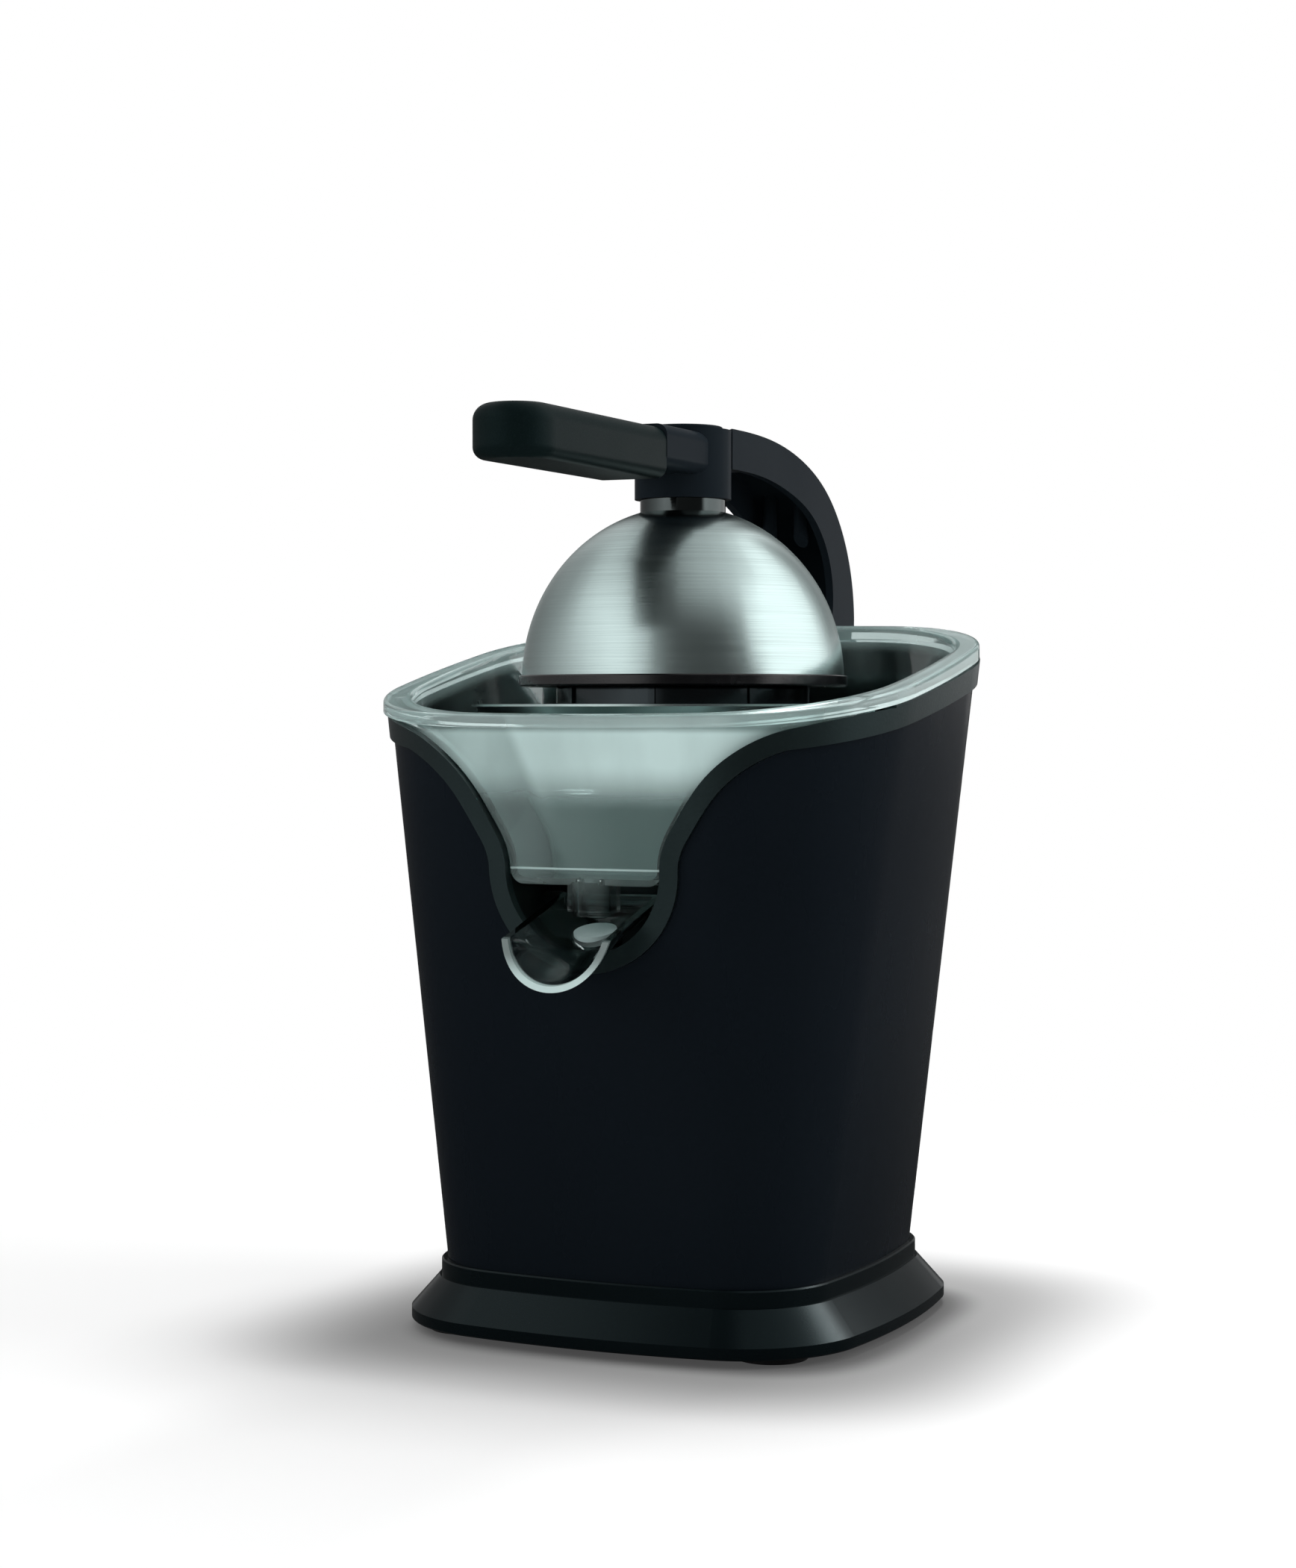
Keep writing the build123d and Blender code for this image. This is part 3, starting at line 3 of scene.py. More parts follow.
import json
import logging
import math
from dataclasses import dataclass
from enum import Enum
from typing import Any, Sequence

import bmesh
import bpy
from mathutils import Matrix, Vector


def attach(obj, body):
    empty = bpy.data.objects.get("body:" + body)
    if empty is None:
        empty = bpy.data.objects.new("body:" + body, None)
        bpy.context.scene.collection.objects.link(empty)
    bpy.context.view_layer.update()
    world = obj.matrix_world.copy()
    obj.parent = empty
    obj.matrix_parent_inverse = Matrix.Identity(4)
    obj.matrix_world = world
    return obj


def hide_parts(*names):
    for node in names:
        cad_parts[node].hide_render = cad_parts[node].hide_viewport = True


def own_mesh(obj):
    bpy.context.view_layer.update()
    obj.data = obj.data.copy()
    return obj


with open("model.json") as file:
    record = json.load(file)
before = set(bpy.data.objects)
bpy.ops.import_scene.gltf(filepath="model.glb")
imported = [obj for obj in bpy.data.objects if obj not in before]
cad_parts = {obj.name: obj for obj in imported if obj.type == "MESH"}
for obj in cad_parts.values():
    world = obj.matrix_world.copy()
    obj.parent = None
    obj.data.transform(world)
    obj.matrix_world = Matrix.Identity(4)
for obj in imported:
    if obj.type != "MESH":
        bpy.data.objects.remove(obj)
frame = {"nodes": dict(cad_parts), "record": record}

LOG = logging.getLogger("citrus_press")
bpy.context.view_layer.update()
MM = 0.001
WHITE = (1.0, 1.0, 1.0, 1.0)

Number = float | int
Colour = tuple[float, float, float]


class Slot(Enum):
    """The record's material slots."""

    BODY = "body_gloss"
    TRIM = "trim_satin"
    BASE = "base_satin"
    RUBBER = "black_rubber"
    PLUG = "plug_silicone"
    SCREW = "screw_steel"
    DOME = "dome_steel"
    CHROME = "neck_chrome"
    CLEAR = "smoke_clear"
    TUB = "tub_black"
    GEAR = "gear_white"
    BRASS = "bearing_brass"
    REAMER = "reamer_black"
    LEVER = "lever_gloss"
    GRIP = "grip_soft"


# ---------------------------------------------------------------- shader expressions
class Val:
    """A node's output socket that takes part in Python arithmetic."""

    def __init__(self, graph: "Graph", socket: "bpy.types.NodeSocket | None") -> None:
        """Wraps a socket.

        Args:
            graph: The graph the socket belongs to.
            socket: The output socket, or None for a node without one.
        """
        self.graph = graph
        self.socket = socket

    def _maths(self, operation: str, *values: Any) -> "Val":
        """Adds one Math node.

        Args:
            operation: The Math node's operation.
            values: Its inputs, numbers or Vals.

        Returns:
            The node's result.
        """
        return self.graph.node("ShaderNodeMath", {"operation": operation}, list(values))

    def __add__(self, other: Any) -> "Val":
        """self + other."""
        return self._maths("ADD", self, other)

    def __radd__(self, other: Any) -> "Val":
        """other + self."""
        return self._maths("ADD", other, self)

    def __sub__(self, other: Any) -> "Val":
        """self - other."""
        return self._maths("SUBTRACT", self, other)

    def __rsub__(self, other: Any) -> "Val":
        """other - self."""
        return self._maths("SUBTRACT", other, self)

    def __mul__(self, other: Any) -> "Val":
        """self * other."""
        return self._maths("MULTIPLY", self, other)

    def __rmul__(self, other: Any) -> "Val":
        """other * self."""
        return self._maths("MULTIPLY", other, self)

    def __truediv__(self, other: Any) -> "Val":
        """self / other."""
        return self._maths("DIVIDE", self, other)

    def __pow__(self, other: Any) -> "Val":
        """self ** other."""
        return self._maths("POWER", self, other)

    def ramp(self, low: Number, high: Number, out_low: Number = 0.0, out_high: Number = 1.0) -> "Val":
        """Maps a range of the value onto another, clamped.

        Args:
            low: The value that gives out_low.
            high: The value that gives out_high.
            out_low: The first result.
            out_high: The last result.

        Returns:
            The mapped value.
        """
        return self.graph.node(
            "ShaderNodeMapRange", {"clamp": True, "interpolation_type": "SMOOTHSTEP"},
            {0: self, 1: low, 2: high, 3: out_low, 4: out_high},
        )


@dataclass(frozen=True)
class Band:
    """A smooth step, from low where a value is at start to high where it is at end."""

    start: float
    end: float
    low: float = 0.0
    high: float = 1.0

    def of(self, value: Val) -> Val:
        """The step, taken of a value."""
        return value.ramp(self.start, self.end, self.low, self.high)


class Graph:
    """A material's node tree, with one method that makes every node."""

    def __init__(self, tree: bpy.types.NodeTree) -> None:
        """Clears a node tree for use.

        Args:
            tree: The tree of a material or world.
        """
        self.tree = tree
        tree.nodes.clear()

    def node(
        self,
        kind: str,
        settings: dict[str, Any] | None = None,
        inputs: dict[Any, Any] | list[Any] | None = None,
        out: int | str = 0,
    ) -> Val:
        """Adds a node.

        Args:
            kind: The node's type.
            settings: Attributes that are set first; "stops" fills a colour ramp.
            inputs: Values or Vals by socket name or number.
            out: The output to return.

        Returns:
            The chosen output.
        """
        made = self.tree.nodes.new(kind)
        for key, value in (settings or {}).items():
            if key == "stops":
                self._stops(made.color_ramp, value)
            else:
                setattr(made, key, value)
        pairs = inputs.items() if isinstance(inputs, dict) else enumerate(inputs or [])
        for key, value in pairs:
            if isinstance(value, Val):
                self.tree.links.new(value.socket, made.inputs[key])
            elif value is not None:
                made.inputs[key].default_value = value
        return Val(self, made.outputs[out] if made.outputs else None)

    @staticmethod
    def _stops(ramp: bpy.types.ColorRamp, stops: Sequence[tuple[float, Colour]]) -> None:
        """Fills a colour ramp.

        Args:
            ramp: The ramp.
            stops: Positions and colours, in order.
        """
        while len(ramp.elements) > 1:
            ramp.elements.remove(ramp.elements[-1])
        for index, (place, colour) in enumerate(stops):
            element = ramp.elements[0] if index == 0 else ramp.elements.new(place)
            element.position = place
            element.color = (*colour, 1.0)

    def place(self, scale: Sequence[Number] = (1, 1, 1)) -> Val:
        """Object coordinates, stretched.

        Args:
            scale: A factor for each axis.

        Returns:
            The coordinates.
        """
        coords = self.node("ShaderNodeTexCoord", out="Object")
        return self.node("ShaderNodeMapping", {}, {"Vector": coords, "Scale": tuple(scale)})

    def axis(self, name: str) -> Val:
        """One of the Object coordinates, in metres.

        Args:
            name: X, Y or Z.

        Returns:
            The coordinate.
        """
        coords = self.node("ShaderNodeTexCoord", out="Object")
        return self.node("ShaderNodeSeparateXYZ", {}, {"Vector": coords}, out=name)

    def noise(self, scale: Number, detail: Number = 3, stretch: Sequence[Number] = (1, 1, 1)) -> Val:
        """A noise value.

        Args:
            scale: Cells per metre.
            detail: Octaves.
            stretch: A factor for each axis.

        Returns:
            The noise, about 0.5 on average.
        """
        return self.node(
            "ShaderNodeTexNoise", {}, {"Vector": self.place(stretch), "Scale": scale, "Detail": detail}
        )

    def mix(self, factor: Any, first: Any, second: Any) -> Val:
        """Blends two colours.

        Args:
            factor: 0 gives first, 1 gives second.
            first: A colour or a Val.
            second: A colour or a Val.

        Returns:
            The colour.
        """
        one, two = (value if isinstance(value, Val) else (*value, 1.0) for value in (first, second))
        return self.node("ShaderNodeMix", {"data_type": "RGBA"}, {0: factor, 6: one, 7: two}, out=2)

    def bump(self, height: Val, distance: Number, strength: Number = 1.0) -> Val:
        """A normal from a height.

        Args:
            height: The height value.
            distance: Metres that one unit of height stands up.
            strength: The effect, up to 1.

        Returns:
            The normal.
        """
        return self.node(
            "ShaderNodeBump", {}, {"Height": height, "Distance": distance, "Strength": strength}
        )

    def finish(self, shader: Val) -> None:
        """Links a shader to the material's output.

        Args:
            shader: The shader.
        """
        self.node("ShaderNodeOutputMaterial", {}, {0: shader})


@dataclass(frozen=True)
class Pattern:
    """Noise on a surface: cells per metre, octaves, a factor for each axis and the band that shows."""

    scale: float
    detail: float = 3
    stretch: tuple[float, float, float] = (1, 1, 1)
    band: Band | None = None

    def on(self, graph: Graph) -> Val:
        """The pattern's value over a surface.

        Args:
            graph: The material's graph.

        Returns:
            The value.
        """
        value = graph.noise(self.scale, self.detail, self.stretch)
        return self.band.of(value) if self.band else value


MADE: dict[str, bpy.types.Material] = {}


@dataclass(frozen=True)
class Finish:
    """What every finish has: a name and a principled surface."""

    name: str

    def material(self) -> bpy.types.Material:
        """The finish as a material, made once.

        Returns:
            The material.
        """
        made = MADE.get(self.name)
        if made is None:
            made = MADE[self.name] = bpy.data.materials.new(self.name)
            made.use_nodes = True
            graph = Graph(made.node_tree)
            graph.finish(self.surface(graph))
        return made

    def surface(self, graph: Graph) -> Val:
        """The finish's shader.

        Args:
            graph: The material's graph.

        Returns:
            The shader.
        """
        raise NotImplementedError


def principled(graph: Graph, **sockets: Any) -> Val:
    """A principled shader.

    Args:
        graph: The graph it goes in.
        sockets: Values by socket name, with _ for a space.

    Returns:
        The shader.
    """
    return graph.node(
        "ShaderNodeBsdfPrincipled", {}, {key.replace("_", " "): value for key, value in sockets.items()}
    )


@dataclass(frozen=True)
class GlossMoulding(Finish):
    """A polished black moulding with faint flow, a haze of wiping marks and fine dust."""

    colour: Colour
    tint: Colour
    roughness: float = 0.16
    specular: float = 0.3
    shine: Colour = (0.75, 0.92, 1.0)
    drift: Pattern = Pattern(9.0, 2, band=Band(0.3, 0.7))
    haze: Pattern = Pattern(28.0, 5, (1, 1, 0.3), Band(0.35, 0.75))
    haze_dulls: float = 0.05
    dust: Pattern = Pattern(2400.0, 2, band=Band(0.7, 0.8))
    dust_dulls: float = 0.1
    peel: Pattern = Pattern(160.0, 1)
    peel_depth: float = 0.00002

    def surface(self, graph: Graph) -> Val:
        """A deep colour that drifts a little, under an uneven polish."""
        haze = self.haze.on(graph) * self.haze_dulls
        dust = self.dust.on(graph) * self.dust_dulls
        return principled(
            graph,
            Base_Color=graph.mix(self.drift.on(graph), self.colour, self.tint),
            Roughness=self.roughness + haze + dust,
            Specular_IOR_Level=self.specular,
            Specular_Tint=(*self.shine, 1.0),
            Normal=graph.bump(self.peel.on(graph), self.peel_depth),
        )


@dataclass(frozen=True)
class SatinMoulding(Finish):
    """A spark-eroded satin plastic: fine grain, soft gloss and a slow drift in colour and gloss."""

    colour: Colour
    light: Colour
    roughness: float = 0.4
    grain: float = 900.0
    depth: float = 0.00003
    specular: float = 0.5
    shine: Colour = (0.66, 0.96, 1.0)
    drift: Pattern = Pattern(14.0, band=Band(0.3, 0.7))
    drift_share: float = 0.3
    drift_dulls: float = 0.06
    speck: Band = Band(0.45, 0.75)
    speck_share: float = 0.6
    speck_shines: float = 0.05

    def surface(self, graph: Graph) -> Val:
        """A grained colour with a slow drift."""
        grain = Pattern(self.grain).on(graph)
        drift = self.drift.on(graph)
        speck = self.speck.of(grain)
        share = speck * self.speck_share + drift * self.drift_share
        return principled(
            graph,
            Base_Color=graph.mix(share, self.colour, self.light),
            Roughness=self.roughness + drift * self.drift_dulls - speck * self.speck_shines,
            Specular_IOR_Level=self.specular,
            Specular_Tint=(*self.shine, 1.0),
            Normal=graph.bump(grain, self.depth),
        )


def scaled(colour: Colour, factor: float, lift: float = 0.0) -> Colour:
    """A colour made darker or lighter, and no channel over 1.

    Args:
        colour: The colour.
        factor: What each channel is multiplied by.
        lift: What is added to each channel.

    Returns:
        The new colour.
    """
    return tuple(min(1.0, factor * channel + lift) for channel in colour)


@dataclass(frozen=True)
class BrushedSheet(Finish):
    """Stainless sheet brushed round the Z axis: fine level lines, longer dull and bright streaks."""

    colour: Colour = (0.5, 0.615, 0.605)
    roughness: float = 0.18
    spread: float = 0.75
    depth: float = 0.00001
    fine: Pattern = Pattern(60.0, 5, (0.6, 0.6, 120.0))
    fine_share: float = 0.6
    fine_dulls: float = 0.06
    coarse: Pattern = Pattern(30.0, 4, (0.5, 0.5, 90.0))
    coarse_relief: float = 0.5
    streak: Band = Band(0.3, 0.7)
    streak_share: float = 0.4
    streak_dulls: float = 0.04
    darker: float = 0.8

    def surface(self, graph: Graph) -> Val:
        """Level scratches in the gloss, the colour and the relief."""
        fine = self.fine.on(graph)
        coarse = self.coarse.on(graph)
        streak = self.streak.of(coarse)
        share = streak * self.streak_share + fine * self.fine_share
        return principled(
            graph,
            Base_Color=graph.mix(share, self.colour, scaled(self.colour, self.darker)),
            Metallic=1.0,
            Anisotropic=self.spread,
            Roughness=self.roughness + streak * self.streak_dulls + fine * self.fine_dulls,
            Normal=graph.bump(fine + coarse * self.coarse_relief, self.depth),
        )


@dataclass(frozen=True)
class PolishedMetal(Finish):
    """Turned or plated metal with faint turning marks."""

    colour: Colour
    roughness: float = 0.12
    rings: Pattern = Pattern(80.0, 3, (0.4, 0.4, 40.0))
    ring_depth: float = 0.000004
    wear: Pattern = Pattern(60.0, 4, band=Band(0.4, 0.7))
    wear_share: float = 0.4
    wear_dulls: float = 0.1
    darker: float = 0.7

    def surface(self, graph: Graph) -> Val:
        """A bright metal with rings of wear."""
        wear = self.wear.on(graph)
        worn = scaled(self.colour, self.darker)
        return principled(
            graph,
            Base_Color=graph.mix(wear * self.wear_share, self.colour, worn),
            Metallic=1.0,
            Roughness=self.roughness + wear * self.wear_dulls,
            Normal=graph.bump(self.rings.on(graph), self.ring_depth),
        )


@dataclass(frozen=True)
class ClearMoulding(Finish):
    """Clear smoke-tinted plastic with flow marks in its polish, under a faint even milk and bands of milk
    that paint light: a glow through the chin and rim, and highlights on the lip and bottom edge.

    The haze is placed by bands in metres: depths towards the front, and heights above the table.
    """

    colour: Colour
    milk: Colour
    roughness: float = 0.02
    specular: float = 0.5
    flow: Pattern = Pattern(30.0, 4, (1, 1, 0.35))
    flow_dulls: float = 0.02
    flow_depth: float = 0.00015
    refraction: float = 1.5
    milk_roughness: float = 0.05
    milk_dulls: float = 0.1
    cloud: Band = Band(0.2, 0.8, 0.8, 1.1)
    # Milk: a faint even part, then bands that paint light, a glow through the chin's walls and rim and
    # highlights on the lip and bottom edge.
    haze: float = 0.004
    painted_glow_low: float = 0.12
    painted_glow_high: float = 0.97
    front: Band = Band(-0.066, -0.084)
    foot: Band = Band(0.150, 0.1645)
    top: Band = Band(0.2095, 0.2120, 1.0, 0.4)
    rise: Band = Band(0.1835, 0.2005)
    left: Band = Band(-0.021, -0.006, 2.3, 1.1)
    right: Band = Band(-0.006, 0.016, 1.0, 0.55)
    flank: Band = Band(-0.004, 0.002, 0.62, 1.0)
    flank_place: tuple[float, float] = (-0.0277, 0.216)
    flank_lean: float = 0.43
    # Painted glow on the chin's back wall, seen through the clear front.
    back: Band = Band(-0.0535, -0.0505)
    back_end: Band = Band(-0.0475, -0.046, 1.0, 0.0)
    back_top: Band = Band(0.186, 0.190, 1.0, 0.0)
    back_painted_glow: float = 0.4
    mouth: tuple[float, float] = (-0.1050, 0.1426)
    mouth_way: tuple[float, float] = (-0.967, 0.255)
    # Painted highlight along the mouth's lip.
    lip: Band = Band(-0.0020, -0.0008, 0.0, 0.9)
    lip_rise: Band = Band(0.128, 0.138, 1.0, 0.25)
    lip_reach: Band = Band(-0.1, -0.098, 1.0, 0.0)
    # Painted glow along the rim, weaker at the front.
    rim: Band = Band(0.2235, 0.2285, 0.0, 0.3)
    rim_slope: float = 0.2
    rim_front: float = 0.9
    # Painted highlight along the chin's bottom edge.
    edge_start: Band = Band(0.1638, 0.1641)
    edge_end: Band = Band(0.1645, 0.1648, 1.0, 0.0)
    edge_painted_highlight: float = 0.5

    def surface(self, graph: Graph) -> Val:
        """A refracting tint, under a milk haze that thickens over the front wall to paint the light seen
        through it.
        """
        flow = self.flow.on(graph)
        clear = principled(
            graph,
            Base_Color=(*self.colour, 1.0),
            Roughness=self.roughness + flow * self.flow_dulls,
            IOR=self.refraction,
            Specular_IOR_Level=self.specular,
            Transmission_Weight=1.0,
            Normal=graph.bump(flow, self.flow_depth),
        )
        milk_glow = principled(
            graph, Base_Color=(*self.milk, 1.0), Roughness=self.milk_roughness + flow * self.milk_dulls
        )
        # The milk's share: painted glow through the chin and rim, painted highlights on the lip and bottom
        # edge.
        haze = self._painted_light_share(graph, self.cloud.of(flow))
        return graph.node("ShaderNodeMixShader", {}, [haze, clear, milk_glow])

    def _painted_light_share(self, graph: Graph, cloud: Val) -> Val:
        """The share of milk, all painted light apart from a faint even part: a painted glow through the
        front and back of the chin and along the rim, and painted highlights on the mouth's lip and the
        chin's bottom edge.

        Args:
            graph: The material's graph.
            cloud: A slow unevenness, about 1.

        Returns:
            The share.
        """
        x, y, z = (graph.axis(name) for name in "XYZ")
        front = self.front.of(y)
        depth = self.rise.of(z)
        # Painted glow through the chin's front wall: faint low down, strongest across its upper band,
        # heavier towards the left.
        level = self.left.of(x) * self.right.of(x) * self.painted_glow_low * (1 - depth) + depth * self.painted_glow_high
        flank = self.flank.of(x - self.flank_place[0] + (z - self.flank_place[1]) * self.flank_lean)
        wall = front * (self.foot.of(z) * self.top.of(z)) * level * cloud * flank
        # Painted glow on the back wall of the chin.
        back = self.back.of(y) * self.back_end.of(y) * self.back_top.of(z) * self.back_painted_glow
        ahead = (y - self.mouth[0]) * self.mouth_way[0] + (z - self.mouth[1]) * self.mouth_way[1]
        # Painted highlight: a thin milk band along the mouth's lip.
        lip = self.lip.of(ahead) * self.lip_rise.of(z) * self.lip_reach.of(y)
        # Painted highlight: a thin milk line at the chin's bottom edge.
        edge = self.edge_start.of(z) * self.edge_end.of(z) * front * self.edge_painted_highlight
        # Painted glow: a milk band along the rim, weaker at the front.
        rim = self.rim.of(z - y * self.rim_slope) * (1 - front * self.rim_front) * cloud
        return self.haze + wall + (lip + edge) + rim + back


@dataclass(frozen=True)
class Rubber(Finish):
    """Dull rubber or silicone with a dusty bloom."""

    colour: Colour
    roughness: float = 0.55
    alpha: float = 1.0
    grain: Pattern = Pattern(1500.0, 2)
    grain_depth: float = 0.00002
    bloom: Pattern = Pattern(120.0, 4, band=Band(0.45, 0.8))
    bloom_share: float = 0.35
    bloom_dulls: float = 0.1
    paler: float = 1.5
    lift: float = 0.01

    def surface(self, graph: Graph) -> Val:
        """A soft colour with fine grain."""
        bloom = self.bloom.on(graph)
        dusty = scaled(self.colour, self.paler, self.lift)
        return principled(
            graph,
            Base_Color=graph.mix(bloom * self.bloom_share, self.colour, dusty),
            Roughness=self.roughness + bloom * self.bloom_dulls,
            Alpha=self.alpha,
            Normal=graph.bump(self.grain.on(graph), self.grain_depth),
        )


FINISHES: dict[Slot, Finish] = {
    Slot.BODY: GlossMoulding(
        "gloss_black", (0.0046, 0.0070, 0.0102), (0.0052, 0.0080, 0.0116), roughness=0.26, specular=0.1
    ),
    Slot.TRIM: SatinMoulding(
        "satin_trim", (0.003, 0.0052, 0.0054), (0.007, 0.0115, 0.0115), roughness=0.32, specular=0.8
    ),
    Slot.BASE: SatinMoulding(
        "satin_base", (0.0025, 0.0045, 0.0055), (0.004, 0.007, 0.008),
        roughness=0.2, grain=1400.0, depth=0.000003, specular=0.14,
    ),
    Slot.RUBBER: Rubber("dark_rubber", (0.003, 0.003, 0.004), roughness=0.22),
    Slot.PLUG: Rubber("milky_silicone", (0.56, 0.72, 0.71), roughness=0.4, alpha=0.92),
    Slot.SCREW: PolishedMetal("plain_steel", (0.5, 0.5, 0.51), roughness=0.28),
    Slot.DOME: BrushedSheet("brushed_steel"),
    # Painted shade: the chrome's colour is made very dark to stand in for the dark reflections on the neck.
    Slot.CHROME: PolishedMetal("shade_darkened_chrome", (0.07, 0.082, 0.082), roughness=0.05),
    Slot.CLEAR: ClearMoulding("smoked_plastic", (0.75, 0.87, 0.86), (0.64, 0.83, 0.81)),
    Slot.TUB: SatinMoulding(
        "satin_tub", (0.002, 0.003, 0.003), (0.004, 0.005, 0.005),
        roughness=0.3, grain=400.0, depth=0.000001, specular=0.2,
    ),
    Slot.GEAR: SatinMoulding("gear_plastic", (0.66, 0.65, 0.6), (0.74, 0.73, 0.69), roughness=0.45),
    Slot.BRASS: PolishedMetal("brass", (0.62, 0.43, 0.18), roughness=0.25),
    Slot.REAMER: GlossMoulding(
        "reamer_black", (0.0015, 0.0015, 0.002), (0.002, 0.0025, 0.003), roughness=0.14, specular=0.5
    ),
    Slot.LEVER: GlossMoulding(
        "lever_gloss", (0.0095, 0.0135, 0.0175), (0.0115, 0.0165, 0.021), roughness=0.3, specular=0.014
    ),
    Slot.GRIP: SatinMoulding(
        "soft_grip", (0.0032, 0.0075, 0.0078), (0.0062, 0.0125, 0.013),
        roughness=0.38, grain=2200.0, depth=0.00002, specular=0.05,
    ),
}


NODE_FINISHES: dict[str, Finish] = {
    "spout_scoop": ClearMoulding(
        "scoop_plastic", (0.26, 0.31, 0.31), (0.64, 0.83, 0.81), haze=0.0, specular=0.25
    ),
}


def dress_nodes() -> None:
    """Gives each CAD node the finish of its slot, or its own."""
    for entry in frame["record"]["subparts"]:
        node = frame["nodes"][entry["node"]]
        finish = NODE_FINISHES.get(entry["node"], FINISHES[Slot(entry["material_slot"])])
        node.data.materials.clear()
        node.data.materials.append(finish.material())
        LOG.info("dressed %s in %s", node.name, finish.name)


def new_piece(name: str, bm: bmesh.types.BMesh, material: bpy.types.Material) -> bpy.types.Object:
    """Turns a finished mesh into an object at the origin.

    Args:
        name: Its name.
        bm: The mesh; it is freed here.
        material: Its material.

    Returns:
        The object.
    """
    mesh = bpy.data.meshes.new(name)
    bm.to_mesh(mesh)
    bm.free()
    mesh.materials.append(material)
    piece = bpy.data.objects.new(name, mesh)
    bpy.context.scene.collection.objects.link(piece)
    return piece


# ---------------------------------------------------------------- underside
@dataclass
class Underside:
    """Cross-head screws and grooved feet under the bottom plate, each made face up and turned over."""

    plate_z: float = 3.0 * MM
    screw_reach: float = 72.6 * MM
    head_radius: float = 3.0 * MM
    head_depth: float = 1.8 * MM
    head_edge: float = 0.8 * MM
    shank_radius: float = 1.5 * MM
    shank_length: float = 10.5 * MM
    recess_radius: float = 1.8 * MM
    recess_width: float = 0.75 * MM
    recess_depth: float = 1.0 * MM
    foot_reach: float = 58.0 * MM
    foot_radius: float = 12.5 * MM
    foot_depth: float = 3.0 * MM
    foot_edge: float = 0.4 * MM
    groove_width: float = 1.1 * MM
    groove_pitch: float = 3.0 * MM
    groove_depth: float = 0.7 * MM
    groove_draft: float = 0.15 * MM
    grooves: int = 3
    segments: int = 48
    edge_steps: int = 4
    slack: float = 0.01 * MM
    merge: float = 1e-7
    turn: float = 0.7

    def _stub(self, bm: bmesh.types.BMesh, radius: float, depth: float, edge: float) -> None:
        """Adds a round stub on the level plane, with its upper edge rounded.

        Args:
            bm: The mesh it is added to.
            radius: Its radius.
            depth: Its height.
            edge: The size of the rounded edge.
        """
        bmesh.ops.create_cone(
            bm, cap_ends=True, segments=self.segments, radius1=radius, radius2=radius, depth=depth,
            matrix=Matrix.Translation((0.0, 0.0, depth / 2)),
        )
        bmesh.ops.bevel(
            bm, geom=list(self._end(bm).edges), offset=edge, segments=self.edge_steps, profile=0.5,
            affect="EDGES", material=-1,
        )

    @staticmethod
    def _end(bm: bmesh.types.BMesh) -> bmesh.types.BMFace:
        """The topmost face."""
        return max(bm.faces, key=lambda face: face.calc_center_median().z)

    def _recess(self, bm: bmesh.types.BMesh) -> list[bmesh.types.BMFace]:
        """The level faces inside the recess's radius on top of a screw's head."""
        top = self.head_depth - self.slack
        reach = self.recess_radius + 5 * self.slack
        return [
            face for face in bm.faces
            if all(vert.co.z > top and vert.co.xy.length < reach for vert in face.verts)
        ]

    def screw(self) -> bmesh.types.BMesh:
        """Makes one screw with its head upwards.

        Returns:
            The mesh.
        """
        bm = bmesh.new()
        self._stub(bm, self.head_radius, self.head_depth, self.head_edge)
        rim = self.head_radius - self.head_edge - self.recess_radius
        bmesh.ops.inset_individual(bm, faces=[self._end(bm)], thickness=rim, use_even_offset=True)
        half = self.recess_width / 2
        for normal in (Vector((1, 0, 0)), Vector((0, 1, 0))):
            for side in (-half, half):
                faces = self._recess(bm)
                edges = {edge for face in faces for edge in face.edges}
                verts = {vert for face in faces for vert in face.verts}
                bmesh.ops.bisect_plane(
                    bm, geom=[*faces, *edges, *verts], dist=self.merge, plane_co=normal * side,
                    plane_no=normal,
                )
        arms = [
            face for face in self._recess(bm)
            if min(abs(value) for value in face.calc_center_median().xy) < half
        ]
        sunk = bmesh.ops.extrude_face_region(bm, geom=arms)["geom"]
        moved = [item for item in sunk if isinstance(item, bmesh.types.BMVert)]
        bmesh.ops.translate(bm, vec=(0.0, 0.0, -self.recess_depth), verts=moved)
        bmesh.ops.delete(bm, geom=arms, context="FACES")
        bmesh.ops.create_cone(
            bm, cap_ends=True, segments=self.segments, radius1=self.shank_radius, radius2=self.shank_radius,
            depth=self.shank_length, matrix=Matrix.Translation((0.0, 0.0, -self.shank_length / 2)),
        )
        return bm

    def foot(self) -> bmesh.types.BMesh:
        """Makes one foot with its grooved underside upwards.

        Returns:
            The mesh.
        """
        bm = bmesh.new()
        self._stub(bm, self.foot_radius, self.foot_depth, self.foot_edge)
        steps = (
            (self.groove_pitch - self.groove_width, 0.0),
            (self.groove_draft, -self.groove_depth),
            (self.groove_width - 2 * self.groove_draft, 0.0),
            (self.groove_draft, self.groove_depth),
        )
        for thickness, depth in steps * self.grooves:
            bmesh.ops.inset_individual(
                bm, faces=[self._middle(bm)], thickness=thickness, depth=depth, use_even_offset=True
            )
        return bm

    @staticmethod
    def _middle(bm: bmesh.types.BMesh) -> bmesh.types.BMFace:
        """The face in the middle of a foot's grooved side."""
        upper = (face for face in bm.faces if face.normal.z > 0.5)
        return min(upper, key=lambda face: max(vert.co.xy.length for vert in face.verts))

